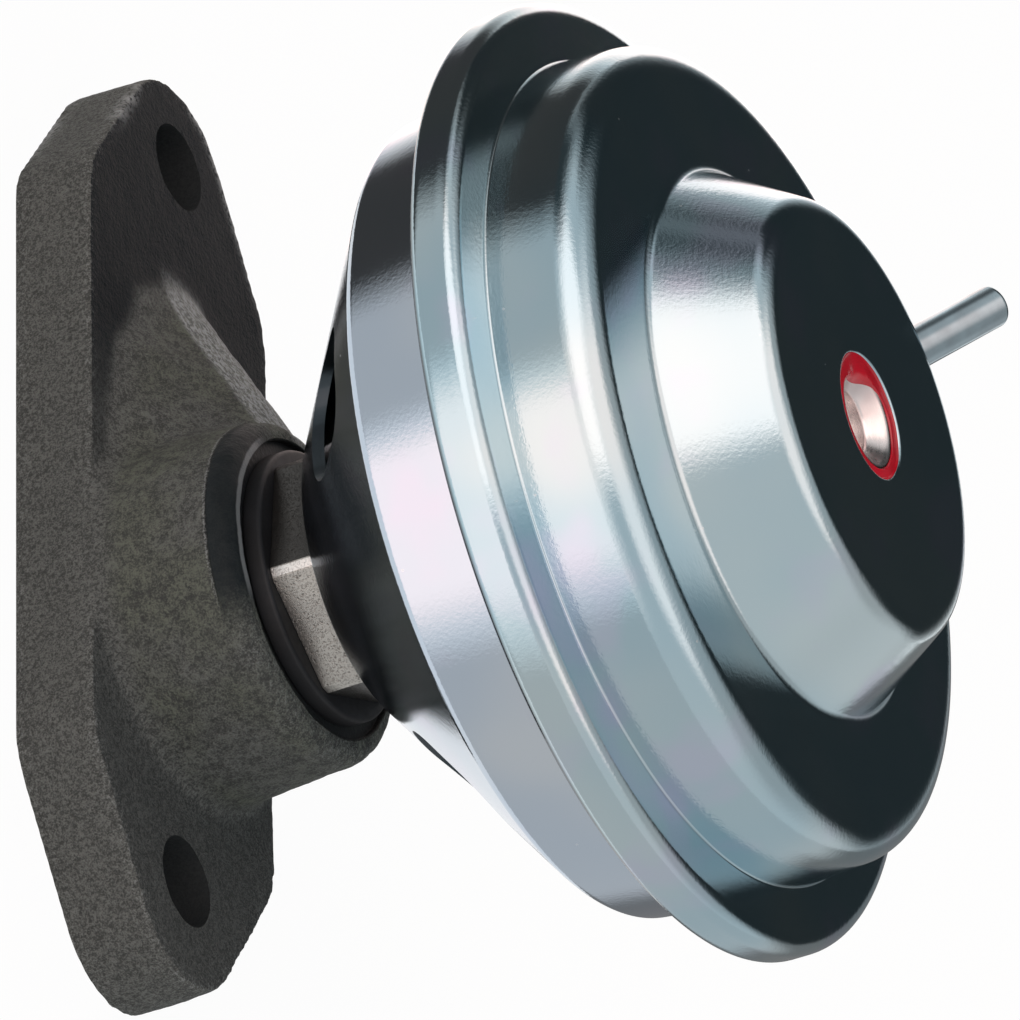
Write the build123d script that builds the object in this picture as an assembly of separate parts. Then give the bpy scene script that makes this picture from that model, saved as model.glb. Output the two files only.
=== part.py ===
from build123d import *
import os
from math import atan2, cos, degrees, radians, sin, tan

os.makedirs("parts", exist_ok=True)

# Vacuum-operated exhaust-gas recirculation valve, in millimetres.
# The mounting face is z = 0 and the origin lies midway between the two bolt holes.
# +X runs along the flange towards the hole nearer the stem, and +Z runs along the stem,
# away from the engine. Every round piece of the valve is centred on the stem axis.

# ---- mounting flange, a drafted casting -------------------------------------------------
BOLT_SPACING = 79.4
BOLT_HOLE_R = 4.35
FLANGE_THICKNESS = 8.0
FLANGE_HALF_WIDTH = 17.1
FLANGE_FLAT_HALF_LENGTH = 31.5
FLANGE_EAR_ANGLE = 33.5
FLANGE_EAR_ROUND = 9.0
FLANGE_TIP_ROUND = 9.5
FLANGE_SHIFT = 0.8
FLANGE_DRAFT = 1.8
FLANGE_EDGE_R = 1.0

# ---- gas passages in the casting ---------------------------------------------------------
STEM_OFFSET = 12.7
SEAT_BORE_R = 9.0
SEAT_SHOULDER_Z = 7.0
CHAMBER_R = 8.3
CHAMBER_TOP_Z = 17.4
OUTLET_OFFSET = 12.7
OUTLET_R = 8.0
OUTLET_DEPTH = 5.2
PASSAGE_R = 4.8
PASSAGE_LOW_Z = 6.4
PASSAGE_HIGH_Z = 12.4

# ---- boss and the sloping hump over the passage -------------------------------------------
BOSS_FOOT_R = 17.4
BOSS_FOOT_Z = 5.5
BOSS_TOP_R = 16.35
BOSS_TOP_Z = 22.0
BOSS_ROUND = 2.0
RECESS_R = 14.25
RECESS_DEPTH = 0.6
HUMP_TOE_X = -25.1
HUMP_TOE_HALF_WIDTH = 5.2
HUMP_MID_X = -16.0
HUMP_MID_HALF_WIDTH = 11.6
HUMP_SHOULDER_X = -4.0
HUMP_HALF_WIDTH = 15.3
HUMP_HEEL_X = 28.6
HUMP_SLOPE = 0.566
CREST_HALF_WIDTH = 1.2
CREST_BEVEL_WIDTH = 2.2
CREST_BEVEL_DROP = 1.8
SUMMIT_INSET = 0.6

# ---- valve seat, pintle and stem ---------------------------------------------------------
SEAT_HEIGHT = 4.5
THROAT_R = 5.6
SEAT_LEAD = 1.0
PINTLE_HEIGHT = 4.6
PINTLE_NOSE_R = 3.2
PINTLE_NOSE_LENGTH = 3.2
STEM_R = 3.0
STEM_NECK_R = 2.3
STEM_TAIL_LENGTH = 3.4
DEFLECTOR_R = 6.9
DEFLECTOR_THICKNESS = 0.8
DEFLECTOR_SKIRT = 1.2
RIVET_R = 3.9
RIVET_HEIGHT = 1.6

# ---- gasket ring and hexagonal stem bushing ----------------------------------------------
SPIGOT_R = 7.5
SPIGOT_LENGTH = 2.6
GASKET_R = 13.4
GASKET_THICKNESS = 1.9
HEX_ACROSS_FLATS = 21.6
HEX_HEIGHT = 5.2
HEX_TURN = 54.0
HEX_CHAMFER = 0.4
NECK_R = 8.6
STAKE_R = 9.8
STAKE_HEIGHT = 0.9
SEAL_POCKET_R = 6.2
SEAL_HEIGHT = 3.0
SEAL_WASHER_THICKNESS = 0.8
STAKE_WASHER_R = 12.4
STAKE_WASHER_THICKNESS = 1.2

# ---- stamped covers ----------------------------------------------------------------------
SHEET = 1.0
FLOOR_R = 14.6
CONE_HEIGHT = 17.2
BAND_HEIGHT = 10.8
BAND_LEAN = 1.25
WINDOW_COUNT = 4
WINDOW_FLOOR_MARGIN = 6.0
WINDOW_BAND_MARGIN = 5.75
WINDOW_HALF_WIDTH = 5.6
WINDOW_CORNER_SHARE = 0.327
BEAD_THICKNESS = 1.7
VALLEY_WIDTH = 6.0
WALL_LEAN = 0.6
WALL_HEIGHT = 9.2
SHOULDER_ROUND = 3.4
DOME_FOOT_R = 25.5
DOME_TOP_R = 19.8
DOME_HEIGHT = 9.3
DOME_TOP_ROUND = 2.2
DOME_FOOT_ROUND = 1.6
WALL_FOOT_ROUND = 1.1
COLLAR_ROUND = 0.55
RIM_R = 44.3
SEAM_WIDTH = 5.7
CRIMP_LIP_WIDTH = 3.3
CRIMP_ROUND = 1.7
CRIMP_GAP = 0.1
COLLAR_R = 6.4
COLLAR_DEPTH = 2.6
SHARP_BEND = 1.2

# ---- diaphragm pack ----------------------------------------------------------------------
DIAPHRAGM_THICKNESS = 0.8
DIAPHRAGM_DROP = 3.0
BEAD_WIDTH = 3.5
BEAD_TO_CONVOLUTION = 2.4
CONVOLUTION_WIDTH = 4.7
CONVOLUTION_RISE = 4.6
PLATE = 0.9
PLATE_CLEARANCE = 1.2
LOWER_PLATE_SKIRT = 2.6
UPPER_PLATE_RIM = 4.0
SPRING_PILOT_R = 12.6
SPRING_PILOT_HEIGHT = 1.4
BACKING_WASHER_R = 7.0
BACKING_WASHER_THICKNESS = 1.5
CLAMP_WASHER_R = 8.0
CLAMP_WASHER_THICKNESS = 1.2

# ---- return spring and its seat ----------------------------------------------------------
SPRING_R = 15.4
SPRING_WIRE_R = 1.1
SPRING_TURNS = 5.0
SPRING_SEAT_R = 17.6
SPRING_SEAT_THICKNESS = 0.8
SPRING_SEAT_PILOT_R = 12.6
SPRING_SEAT_PILOT_DEPTH = 1.4

# ---- vacuum tube, calibration plug and its lacquer seal ------------------------------------
TUBE_R = 2.0
TUBE_BORE_R = 1.25
TUBE_ROOT_R = 1.7
TUBE_AZIMUTH = 137.0
TUBE_ROOT_DROP = 3.9
TUBE_LENGTH = 13.1
TUBE_INSET = 1.4
TUBE_END_ROUND = 0.5
PLUG_R = 5.0
PLUG_HEIGHT = 3.2
PLUG_SUNK = 0.9
PLUG_RECESS_R = 2.9
PLUG_RECESS_DEPTH = 1.9
PLUG_ROUND = 0.9

# ---- clearances --------------------------------------------------------------------------
RUNNING_GAP = 0.05
FIT_GAP = 0.02
SOFT_GAP = 0.08

# ---- levels that follow from the sizes above ------------------------------------------------
recess_z = BOSS_TOP_Z - RECESS_DEPTH
gasket_top = recess_z + GASKET_THICKNESS
hex_top = gasket_top + HEX_HEIGHT
spigot_bottom = recess_z - SPIGOT_LENGTH
floor_top = hex_top + SHEET
stake_washer_top = floor_top + STAKE_WASHER_THICKNESS
bushing_top = stake_washer_top + STAKE_HEIGHT
seal_washer_top = bushing_top - 0.1
seal_top = seal_washer_top - SEAL_WASHER_THICKNESS
seal_bottom = seal_top - SEAL_HEIGHT

floor_mid = hex_top + SHEET / 2
bend_mid = floor_mid + CONE_HEIGHT
seam_mid = bend_mid + BAND_HEIGHT
bead_bottom = seam_mid + SHEET / 2
bead_top = bead_bottom + BEAD_THICKNESS
cover_flange_mid = bead_top + SHEET / 2
shoulder_mid = cover_flange_mid + WALL_HEIGHT
dome_mid = shoulder_mid + DOME_HEIGHT
dome_top = dome_mid + SHEET / 2
dome_inside = dome_mid - SHEET / 2
crimp_lip_mid = seam_mid - SHEET
clamp_flange_r = RIM_R - CRIMP_ROUND - CRIMP_GAP
wall_foot_r = RIM_R - VALLEY_WIDTH
wall_top_r = wall_foot_r - WALL_LEAN
band_top_r = RIM_R - SEAM_WIDTH
cone_top_r = band_top_r - BAND_LEAN
crimp_lip_r = RIM_R - CRIMP_LIP_WIDTH
window_inner_r = FLOOR_R + WINDOW_FLOOR_MARGIN
window_outer_r = cone_top_r - WINDOW_BAND_MARGIN

diaphragm_clamp_mid = (bead_bottom + bead_top) / 2
bead_inner_r = clamp_flange_r - BEAD_WIDTH
convolution_outer_r = bead_inner_r - BEAD_TO_CONVOLUTION
convolution_inner_r = convolution_outer_r - CONVOLUTION_WIDTH
plate_r = convolution_inner_r - PLATE_CLEARANCE
diaphragm_mid = diaphragm_clamp_mid - DIAPHRAGM_DROP
lower_plate_top = diaphragm_mid - DIAPHRAGM_THICKNESS / 2 - SOFT_GAP
lower_plate_bottom = lower_plate_top - PLATE
stem_shoulder = lower_plate_bottom - BACKING_WASHER_THICKNESS
upper_plate_bottom = diaphragm_mid + DIAPHRAGM_THICKNESS / 2 + SOFT_GAP
upper_plate_top = upper_plate_bottom + PLATE
clamp_washer_top = upper_plate_top + CLAMP_WASHER_THICKNESS

seat_bottom = SEAT_SHOULDER_Z - SEAT_HEIGHT
pintle_bottom = SEAT_SHOULDER_Z - SEAT_LEAD + RUNNING_GAP
pintle_top = pintle_bottom + PINTLE_HEIGHT
deflector_bottom = pintle_top
spring_seat_bottom = dome_inside - SPRING_SEAT_THICKNESS
spring_bottom = upper_plate_top + SOFT_GAP
spring_top = spring_seat_bottom - FIT_GAP

stem_axis = Pos(STEM_OFFSET, 0, 0)


def turned(*outline, radii=0):
    """Solid of revolution about the stem from a closed (radius, height) outline."""
    section = make_face(Plane.XZ * FilletPolyline(*outline, close=True, radius=radii))
    return stem_axis * revolve(section, Axis.Z)


def sheet_outline(path, radii, thickness):
    """Closed outline, with its corner radii, of a sheet of even thickness along a path."""
    half = thickness / 2
    left, right, left_radii, right_radii = [], [], [], []
    bends = [0.0, *radii, 0.0]
    for index, (x, y) in enumerate(path):
        before = path[index - 1] if index else None
        after = path[index + 1] if index < len(path) - 1 else None
        start = atan2(y - before[1], x - before[0]) if before else None
        end = atan2(after[1] - y, after[0] - x) if after else None
        start = end if start is None else start
        end = start if end is None else end
        turn = (degrees(end - start) + 180) % 360 - 180
        normal = start + radians(turn) / 2 + radians(90)
        reach = half / cos(radians(turn) / 2)
        left.append((x + reach * cos(normal), y + reach * sin(normal)))
        right.append((x - reach * cos(normal), y - reach * sin(normal)))
        inner = bends[index] - half if bends[index] > SHARP_BEND else 0
        outer = bends[index] + half if bends[index] else 0
        sharp = before is None or after is None
        left_radii.append(0 if sharp else (inner if turn > 0 else outer))
        right_radii.append(0 if sharp else (outer if turn > 0 else inner))
    return left + right[::-1], left_radii + right_radii[::-1]


def stamping(path, radii, thickness=SHEET):
    """Round sheet-metal pressing whose middle surface follows a (radius, height) path."""
    outline, corner_radii = sheet_outline(path, radii, thickness)
    return turned(*outline, radii=corner_radii)


def ring(inner_r, outer_r, bottom, top):
    """Plain washer or sleeve on the stem axis."""
    return turned((inner_r, bottom), (outer_r, bottom), (outer_r, top), (inner_r, top))


def cylinder_between(start, end, radius):
    """Round bar from one point to another."""
    start, end = Vector(*start), Vector(*end)
    along = end - start
    return extrude(Plane(start, z_dir=along) * Circle(radius), along.length)


# ---- casting -------------------------------------------------------------------------------
def flange_plate():
    """Two-bolt plate: parallel flats, tapering ears and rounded tips."""
    apex = FLANGE_FLAT_HALF_LENGTH + FLANGE_HALF_WIDTH / tan(radians(FLANGE_EAR_ANGLE))
    corners = [
        (FLANGE_FLAT_HALF_LENGTH, FLANGE_HALF_WIDTH),
        (-FLANGE_FLAT_HALF_LENGTH, FLANGE_HALF_WIDTH),
        (-apex, 0),
        (-FLANGE_FLAT_HALF_LENGTH, -FLANGE_HALF_WIDTH),
        (FLANGE_FLAT_HALF_LENGTH, -FLANGE_HALF_WIDTH),
        (apex, 0),
    ]
    corner_radii = [FLANGE_EAR_ROUND, FLANGE_EAR_ROUND, FLANGE_TIP_ROUND] * 2
    outline = make_face(FilletPolyline(*corners, close=True, radius=corner_radii))
    plate = extrude(outline, FLANGE_THICKNESS, taper=FLANGE_DRAFT)
    top_edges = plate.faces().sort_by(Axis.Z)[-1].edges()
    return Pos(FLANGE_SHIFT, 0, 0) * fillet(top_edges, FLANGE_EDGE_R)


def hump_section(x, half_width, crest_z):
    """Cross-section of the hump: upright foot inside the flange, sloping sides, narrow crest."""
    foot_z = FLANGE_THICKNESS / 2
    foot_top = FLANGE_THICKNESS - FLANGE_EDGE_R - CREST_BEVEL_DROP
    bevel_width = CREST_HALF_WIDTH + CREST_BEVEL_WIDTH
    outline = [
        (-half_width, foot_z),
        (half_width, foot_z),
        (half_width, foot_top),
        (bevel_width, crest_z - CREST_BEVEL_DROP),
        (CREST_HALF_WIDTH, crest_z),
        (-CREST_HALF_WIDTH, crest_z),
        (-bevel_width, crest_z - CREST_BEVEL_DROP),
        (-half_width, foot_top),
    ]
    return make_face(Plane.YZ.offset(x) * Polyline(*outline, close=True))


def crest_height(x):
    """Height of the hump's crest, a straight slope up from its toe."""
    return FLANGE_THICKNESS + (x - HUMP_TOE_X) * HUMP_SLOPE


def hump():
    """Gabled hump over the inclined passage, and its short return beyond the boss."""
    summit_x = STEM_OFFSET - RECESS_R - SUMMIT_INSET
    toe = hump_section(HUMP_TOE_X, HUMP_TOE_HALF_WIDTH, FLANGE_THICKNESS)
    middle = hump_section(HUMP_MID_X, HUMP_MID_HALF_WIDTH, crest_height(HUMP_MID_X))
    shoulder = hump_section(HUMP_SHOULDER_X, HUMP_HALF_WIDTH, crest_height(HUMP_SHOULDER_X))
    summit = hump_section(summit_x, HUMP_HALF_WIDTH, crest_height(summit_x))
    heel = hump_section(HUMP_HEEL_X, HUMP_HALF_WIDTH, FLANGE_THICKNESS)
    rising = loft([toe, middle, shoulder, summit], ruled=True)
    falling = loft([summit, heel], ruled=True)
    return rising + falling


def base_casting():
    """Cast-iron base: flange, hump, boss and the gas passages bored through them."""
    boss = turned(
        (0, BOSS_FOOT_Z),
        (BOSS_FOOT_R, BOSS_FOOT_Z),
        (BOSS_TOP_R, BOSS_TOP_Z),
        (0, BOSS_TOP_Z),
        radii=[0, 0, BOSS_ROUND, 0],
    )
    body = flange_plate() + hump() + boss
    body -= turned(
        (0, -1),
        (SEAT_BORE_R, -1),
        (SEAT_BORE_R, SEAT_SHOULDER_Z),
        (CHAMBER_R, SEAT_SHOULDER_Z),
        (CHAMBER_R, CHAMBER_TOP_Z),
        (SPIGOT_R + FIT_GAP, CHAMBER_TOP_Z),
        (SPIGOT_R + FIT_GAP, recess_z),
        (RECESS_R, recess_z),
        (RECESS_R, BOSS_TOP_Z + 1),
        (0, BOSS_TOP_Z + 1),
    )
    passage_low = (-OUTLET_OFFSET, 0, PASSAGE_LOW_Z)
    passage_high = (STEM_OFFSET, 0, PASSAGE_HIGH_Z)
    body -= Pos(-OUTLET_OFFSET, 0, OUTLET_DEPTH / 2 - 0.5) * Cylinder(OUTLET_R, OUTLET_DEPTH + 1)
    body -= Pos(passage_low) * Sphere(PASSAGE_R)
    body -= cylinder_between(passage_low, passage_high, PASSAGE_R)
    for side in (-1, 1):
        body -= Pos(side * BOLT_SPACING / 2, 0, 0) * Cylinder(BOLT_HOLE_R, 4 * FLANGE_THICKNESS)
    return body


# ---- valve seat and bushing stack ------------------------------------------------------------
def valve_seat():
    """Seat ring pressed up to its shoulder, with a chamfered lead for the pintle."""
    outer_r = SEAT_BORE_R - FIT_GAP
    return turned(
        (THROAT_R, seat_bottom),
        (outer_r, seat_bottom),
        (outer_r, SEAT_SHOULDER_Z),
        (THROAT_R + SEAT_LEAD, SEAT_SHOULDER_Z),
        (THROAT_R, SEAT_SHOULDER_Z - SEAT_LEAD),
    )


def hex_bushing():
    """Sintered stem guide: spigot in the boss, hexagon, neck and lip staked over the housing."""
    hexagon = Rot(0, 0, HEX_TURN) * RegularPolygon(HEX_ACROSS_FLATS / 2, 6, major_radius=False)
    block = stem_axis * Pos(0, 0, gasket_top) * extrude(hexagon, HEX_HEIGHT)
    corner_r = HEX_ACROSS_FLATS / 2 / cos(radians(30))
    block &= turned(
        (0, gasket_top),
        (corner_r - HEX_CHAMFER, gasket_top),
        (corner_r, gasket_top + HEX_CHAMFER),
        (corner_r, hex_top - HEX_CHAMFER),
        (corner_r - HEX_CHAMFER, hex_top),
        (0, hex_top),
    )
    block += turned(
        (0, spigot_bottom),
        (SPIGOT_R, spigot_bottom),
        (SPIGOT_R, hex_top),
        (NECK_R, hex_top),
        (NECK_R, stake_washer_top),
        (STAKE_R, stake_washer_top),
        (NECK_R, bushing_top),
        (0, bushing_top),
    )
    return block - turned(
        (0, spigot_bottom - 1),
        (STEM_R + RUNNING_GAP, spigot_bottom - 1),
        (STEM_R + RUNNING_GAP, seal_bottom),
        (SEAL_POCKET_R, seal_bottom),
        (SEAL_POCKET_R, bushing_top + 1),
        (0, bushing_top + 1),
    )


# ---- stamped covers ----------------------------------------------------------------------------
def window_cutter():
    """Upright prism through the cone wall, with rounded corners."""
    length = window_outer_r - window_inner_r
    corner_r = length * WINDOW_CORNER_SHARE
    outline = RectangleRounded(length, 2 * WINDOW_HALF_WIDTH, corner_r)
    return Pos((window_inner_r + window_outer_r) / 2, 0, hex_top) * extrude(outline, CONE_HEIGHT + SHEET)


def lower_housing():
    """Open-sided cone that holds the diaphragm away from the hot casting."""
    shell = stamping(
        [
            (NECK_R + FIT_GAP, floor_mid),
            (FLOOR_R, floor_mid),
            (cone_top_r, bend_mid),
            (band_top_r, seam_mid),
            (clamp_flange_r, seam_mid),
        ],
        [1.6, 1.4, 0.9],
    )
    for index in range(WINDOW_COUNT):
        shell -= stem_axis * Rot(0, 0, 360 / WINDOW_COUNT * index) * window_cutter()
    return shell


def tube_frame():
    """Plane on the dome's sloping wall, square to it, with its normal along the tube."""
    run, azimuth = DOME_FOOT_R - DOME_TOP_R, radians(TUBE_AZIMUTH)
    rise = atan2(run, DOME_HEIGHT)
    root_r = DOME_TOP_R + TUBE_ROOT_DROP * run / DOME_HEIGHT
    along = (cos(rise) * cos(azimuth), cos(rise) * sin(azimuth), sin(rise))
    root = (STEM_OFFSET + root_r * cos(azimuth), root_r * sin(azimuth), dome_mid - TUBE_ROOT_DROP)
    return Plane(origin=root, z_dir=along)


def upper_cover():
    """Stepped dome whose rim is rolled over the lower housing's flange."""
    shell = stamping(
        [
            (COLLAR_R, dome_mid - COLLAR_DEPTH),
            (COLLAR_R, dome_mid),
            (DOME_TOP_R, dome_mid),
            (DOME_FOOT_R, shoulder_mid),
            (wall_top_r, shoulder_mid),
            (wall_foot_r, cover_flange_mid),
            (RIM_R, cover_flange_mid),
            (RIM_R, crimp_lip_mid),
            (crimp_lip_r, crimp_lip_mid),
        ],
        [
            COLLAR_ROUND,
            DOME_TOP_ROUND,
            DOME_FOOT_ROUND,
            SHOULDER_ROUND,
            WALL_FOOT_ROUND,
            CRIMP_ROUND,
            CRIMP_ROUND,
        ],
    )
    hole = extrude(tube_frame() * Circle(TUBE_ROOT_R + FIT_GAP), 2 * SHEET, both=True)
    return shell - hole


def vacuum_tube():
    """Straight hose stub: its spigot goes through the dome's wall and its shoulder seats on it."""
    frame = tube_frame()
    seat = SHEET / 2 + SOFT_GAP
    tube = extrude(frame.offset(seat) * Circle(TUBE_R), TUBE_LENGTH)
    tip = tube.faces().sort_by(Axis(frame.origin, frame.z_dir))[-1]
    tube = fillet(tip.edges(), TUBE_END_ROUND)
    inner_end = -SHEET / 2 - TUBE_INSET
    whole_length = seat + TUBE_LENGTH - inner_end
    tube += extrude(frame.offset(inner_end) * Circle(TUBE_ROOT_R), whole_length / 2)
    return tube - extrude(frame.offset(inner_end - 1) * Circle(TUBE_BORE_R), whole_length + 2)


def calibration_plug():
    """Cup-shaped plug in the collar, with a rounded rim."""
    top = dome_top - PLUG_SUNK
    return turned(
        (0, top - PLUG_HEIGHT),
        (PLUG_R, top - PLUG_HEIGHT),
        (PLUG_R, top),
        (PLUG_RECESS_R, top),
        (PLUG_RECESS_R, top - PLUG_RECESS_DEPTH),
        (0, top - PLUG_RECESS_DEPTH),
        radii=[0, 0, PLUG_ROUND, PLUG_ROUND, PLUG_ROUND / 3, 0],
    )


def lacquer_seal():
    """Ring of sealing lacquer between plug and collar, drawn up at the collar's wall."""
    inner, outer = PLUG_R + FIT_GAP, COLLAR_R - SHEET / 2 - FIT_GAP
    bottom = dome_top - PLUG_SUNK - PLUG_HEIGHT + 0.6
    return turned(
        (inner, bottom),
        (outer, bottom),
        (outer, dome_top - 0.55),
        (outer - 0.25, dome_top - PLUG_SUNK - 0.1),
        (inner, dome_top - PLUG_SUNK - PLUG_ROUND),
    )


# ---- diaphragm pack ------------------------------------------------------------------------------
def diaphragm():
    """Moulded diaphragm with one rolling convolution and a clamped outer bead."""
    convolution_round = (convolution_outer_r - convolution_inner_r) / 2 - 0.05
    top = diaphragm_clamp_mid + CONVOLUTION_RISE
    web = stamping(
        [
            (STEM_NECK_R + SOFT_GAP, diaphragm_mid),
            (convolution_inner_r, diaphragm_mid),
            (convolution_inner_r, top),
            (convolution_outer_r, top),
            (convolution_outer_r, diaphragm_clamp_mid),
            (clamp_flange_r, diaphragm_clamp_mid),
        ],
        [0, convolution_round, convolution_round, 0],
        DIAPHRAGM_THICKNESS,
    )
    return web + ring(bead_inner_r, clamp_flange_r, bead_bottom, bead_top)


def lower_plate():
    """Backing plate with a turned-down skirt."""
    level = lower_plate_top - PLATE / 2
    return stamping(
        [(STEM_NECK_R + FIT_GAP, level), (plate_r, level), (plate_r, level - LOWER_PLATE_SKIRT)],
        [1.2],
        PLATE,
    )


def upper_plate():
    """Dished plate: raised pilot inside the spring and an upturned rim beside the convolution."""
    level = upper_plate_bottom + PLATE / 2
    plate = stamping(
        [(STEM_NECK_R + FIT_GAP, level), (plate_r, level), (plate_r, level + UPPER_PLATE_RIM)],
        [1.2],
        PLATE,
    )
    pilot_inner = SPRING_PILOT_R - PLATE
    return plate + ring(pilot_inner, SPRING_PILOT_R, upper_plate_top, upper_plate_top + SPRING_PILOT_HEIGHT)


def spring_seat():
    """Flat ring under the dome with a turned-down lip inside the spring."""
    level = dome_inside - SPRING_SEAT_THICKNESS / 2
    seat = ring(COLLAR_R + SHEET / 2 + 0.3, SPRING_SEAT_R, spring_seat_bottom, dome_inside)
    lip_inner = SPRING_SEAT_PILOT_R - SPRING_SEAT_THICKNESS
    lip_bottom = spring_seat_bottom - SPRING_SEAT_PILOT_DEPTH
    return seat + ring(lip_inner, SPRING_SEAT_PILOT_R, lip_bottom, level)


def return_spring():
    """Compression spring of eight-sided wire, with its end coils ground flat."""
    height = spring_top - spring_bottom
    pitch = height / SPRING_TURNS
    path = Helix(pitch=pitch, height=height, radius=SPRING_R)
    wire = sweep(Plane(path @ 0, z_dir=path % 0) * RegularPolygon(SPRING_WIRE_R, 8), path)
    slab = Pos(0, 0, height / 2) * Cylinder(SPRING_R + 2 * SPRING_WIRE_R, height)
    return stem_axis * Pos(0, 0, spring_bottom) * (wire & slab)


# ---- stem, pintle and what is riveted to them --------------------------------------------------------
def pintle():
    """Tapered head that closes the seat from above, with a metering nose in the throat."""
    lead = SEAT_LEAD - RUNNING_GAP
    return turned(
        (0, pintle_bottom - PINTLE_NOSE_LENGTH),
        (PINTLE_NOSE_R, pintle_bottom - PINTLE_NOSE_LENGTH),
        (THROAT_R - 0.4, pintle_bottom),
        (THROAT_R - RUNNING_GAP, pintle_bottom),
        (THROAT_R + lead, pintle_bottom + SEAT_LEAD),
        (THROAT_R + lead, pintle_top - 1.2),
        (STEM_R + 1.4, pintle_top),
        (STEM_R, pintle_top),
        (STEM_R, pintle_top - STEM_TAIL_LENGTH),
        (0, pintle_top - STEM_TAIL_LENGTH),
    )


def deflector():
    """Cup that turns hot gas away from the bushing."""
    level = deflector_bottom + DEFLECTOR_THICKNESS / 2
    return stamping(
        [
            (STEM_R + FIT_GAP, level),
            (DEFLECTOR_R, level),
            (DEFLECTOR_R, level - DEFLECTOR_SKIRT),
        ],
        [0.8],
        DEFLECTOR_THICKNESS,
    )


def valve_stem():
    """Stem with a shoulder under the diaphragm pack and a riveted-over end."""
    stem_bottom = pintle_top - STEM_TAIL_LENGTH
    return turned(
        (0, stem_bottom),
        (STEM_R - FIT_GAP, stem_bottom),
        (STEM_R - FIT_GAP, pintle_top),
        (STEM_R, pintle_top),
        (STEM_R, stem_shoulder),
        (STEM_NECK_R, stem_shoulder),
        (STEM_NECK_R, clamp_washer_top),
        (RIVET_R, clamp_washer_top),
        (STEM_NECK_R, clamp_washer_top + RIVET_HEIGHT),
        (0, clamp_washer_top + RIVET_HEIGHT),
    )


# ---- all nodes -----------------------------------------------------------------------------------------
neck_hole_r = STEM_NECK_R + FIT_GAP
nodes = {
    "base_casting": base_casting(),
    "valve_seat": valve_seat(),
    "boss_gasket": ring(SPIGOT_R + FIT_GAP, GASKET_R, recess_z, gasket_top),
    "hex_bushing": hex_bushing(),
    "stem_seal": ring(STEM_R + RUNNING_GAP, SEAL_POCKET_R - FIT_GAP, seal_bottom, seal_top),
    "seal_washer": ring(STEM_R + 3 * RUNNING_GAP, SEAL_POCKET_R - FIT_GAP, seal_top, seal_washer_top),
    "lower_housing": lower_housing(),
    "stake_washer": ring(NECK_R + FIT_GAP, STAKE_WASHER_R, floor_top, stake_washer_top),
    "upper_cover": upper_cover(),
    "vacuum_tube": vacuum_tube(),
    "calibration_plug": calibration_plug(),
    "lacquer_seal": lacquer_seal(),
    "spring_seat": spring_seat(),
    "return_spring": return_spring(),
    "diaphragm": diaphragm(),
    "valve_stem": valve_stem(),
    "pintle": pintle(),
    "deflector": deflector(),
    "backing_washer": ring(neck_hole_r, BACKING_WASHER_R, stem_shoulder, lower_plate_bottom),
    "lower_plate": lower_plate(),
    "upper_plate": upper_plate(),
    "clamp_washer": ring(neck_hole_r, CLAMP_WASHER_R, upper_plate_top, clamp_washer_top),
}

for name, shape in nodes.items():
    export_step(shape, f"parts/{name}.step")
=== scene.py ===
"""Looks of a vacuum-operated exhaust gas recirculation valve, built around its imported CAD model.

Every length in this file is in millimetres until a mesh is made, and every mesh is in metres.
"""

import logging
from collections.abc import Sequence
from dataclasses import dataclass
from enum import Enum
from math import atan2, ceil, cos, degrees, hypot, pi, radians, sin, tan

import bmesh
import bpy
import numpy as np
from mathutils import Matrix, Vector, noise


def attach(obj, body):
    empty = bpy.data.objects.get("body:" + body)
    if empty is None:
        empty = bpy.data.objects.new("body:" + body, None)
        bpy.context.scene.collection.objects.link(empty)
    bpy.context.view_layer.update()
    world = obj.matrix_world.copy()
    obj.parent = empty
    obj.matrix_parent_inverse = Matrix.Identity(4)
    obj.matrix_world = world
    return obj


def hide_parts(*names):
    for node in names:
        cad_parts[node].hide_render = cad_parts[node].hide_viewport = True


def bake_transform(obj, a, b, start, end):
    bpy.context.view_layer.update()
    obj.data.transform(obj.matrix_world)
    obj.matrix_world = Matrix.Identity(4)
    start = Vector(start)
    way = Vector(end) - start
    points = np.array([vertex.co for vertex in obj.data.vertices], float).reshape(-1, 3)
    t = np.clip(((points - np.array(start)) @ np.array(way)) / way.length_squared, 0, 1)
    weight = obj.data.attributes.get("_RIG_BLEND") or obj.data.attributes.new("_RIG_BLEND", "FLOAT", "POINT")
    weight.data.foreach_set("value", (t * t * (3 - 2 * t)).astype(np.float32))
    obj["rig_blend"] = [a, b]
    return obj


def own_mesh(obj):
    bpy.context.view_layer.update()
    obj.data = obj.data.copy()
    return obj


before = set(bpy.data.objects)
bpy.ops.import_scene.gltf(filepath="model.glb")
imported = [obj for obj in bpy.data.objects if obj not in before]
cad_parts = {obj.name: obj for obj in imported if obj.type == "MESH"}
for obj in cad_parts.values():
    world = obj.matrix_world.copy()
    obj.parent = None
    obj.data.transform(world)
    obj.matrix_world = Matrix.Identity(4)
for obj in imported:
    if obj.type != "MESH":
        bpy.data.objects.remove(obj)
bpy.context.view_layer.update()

MM = 0.001
STEM_X = 12.7  # how far the stem's axis stands from the middle of the flange
GUARD = 0.12  # how far beyond a round its guard point stands
TIP_ROUND = 0.08  # the round on a sheet's cut edge
LEAST_ROUND = 0.05  # the least round inside a sheet's bend
Point = tuple[float, float]
Colour = tuple[float, float, float]
LOG = logging.getLogger("valve")


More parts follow.
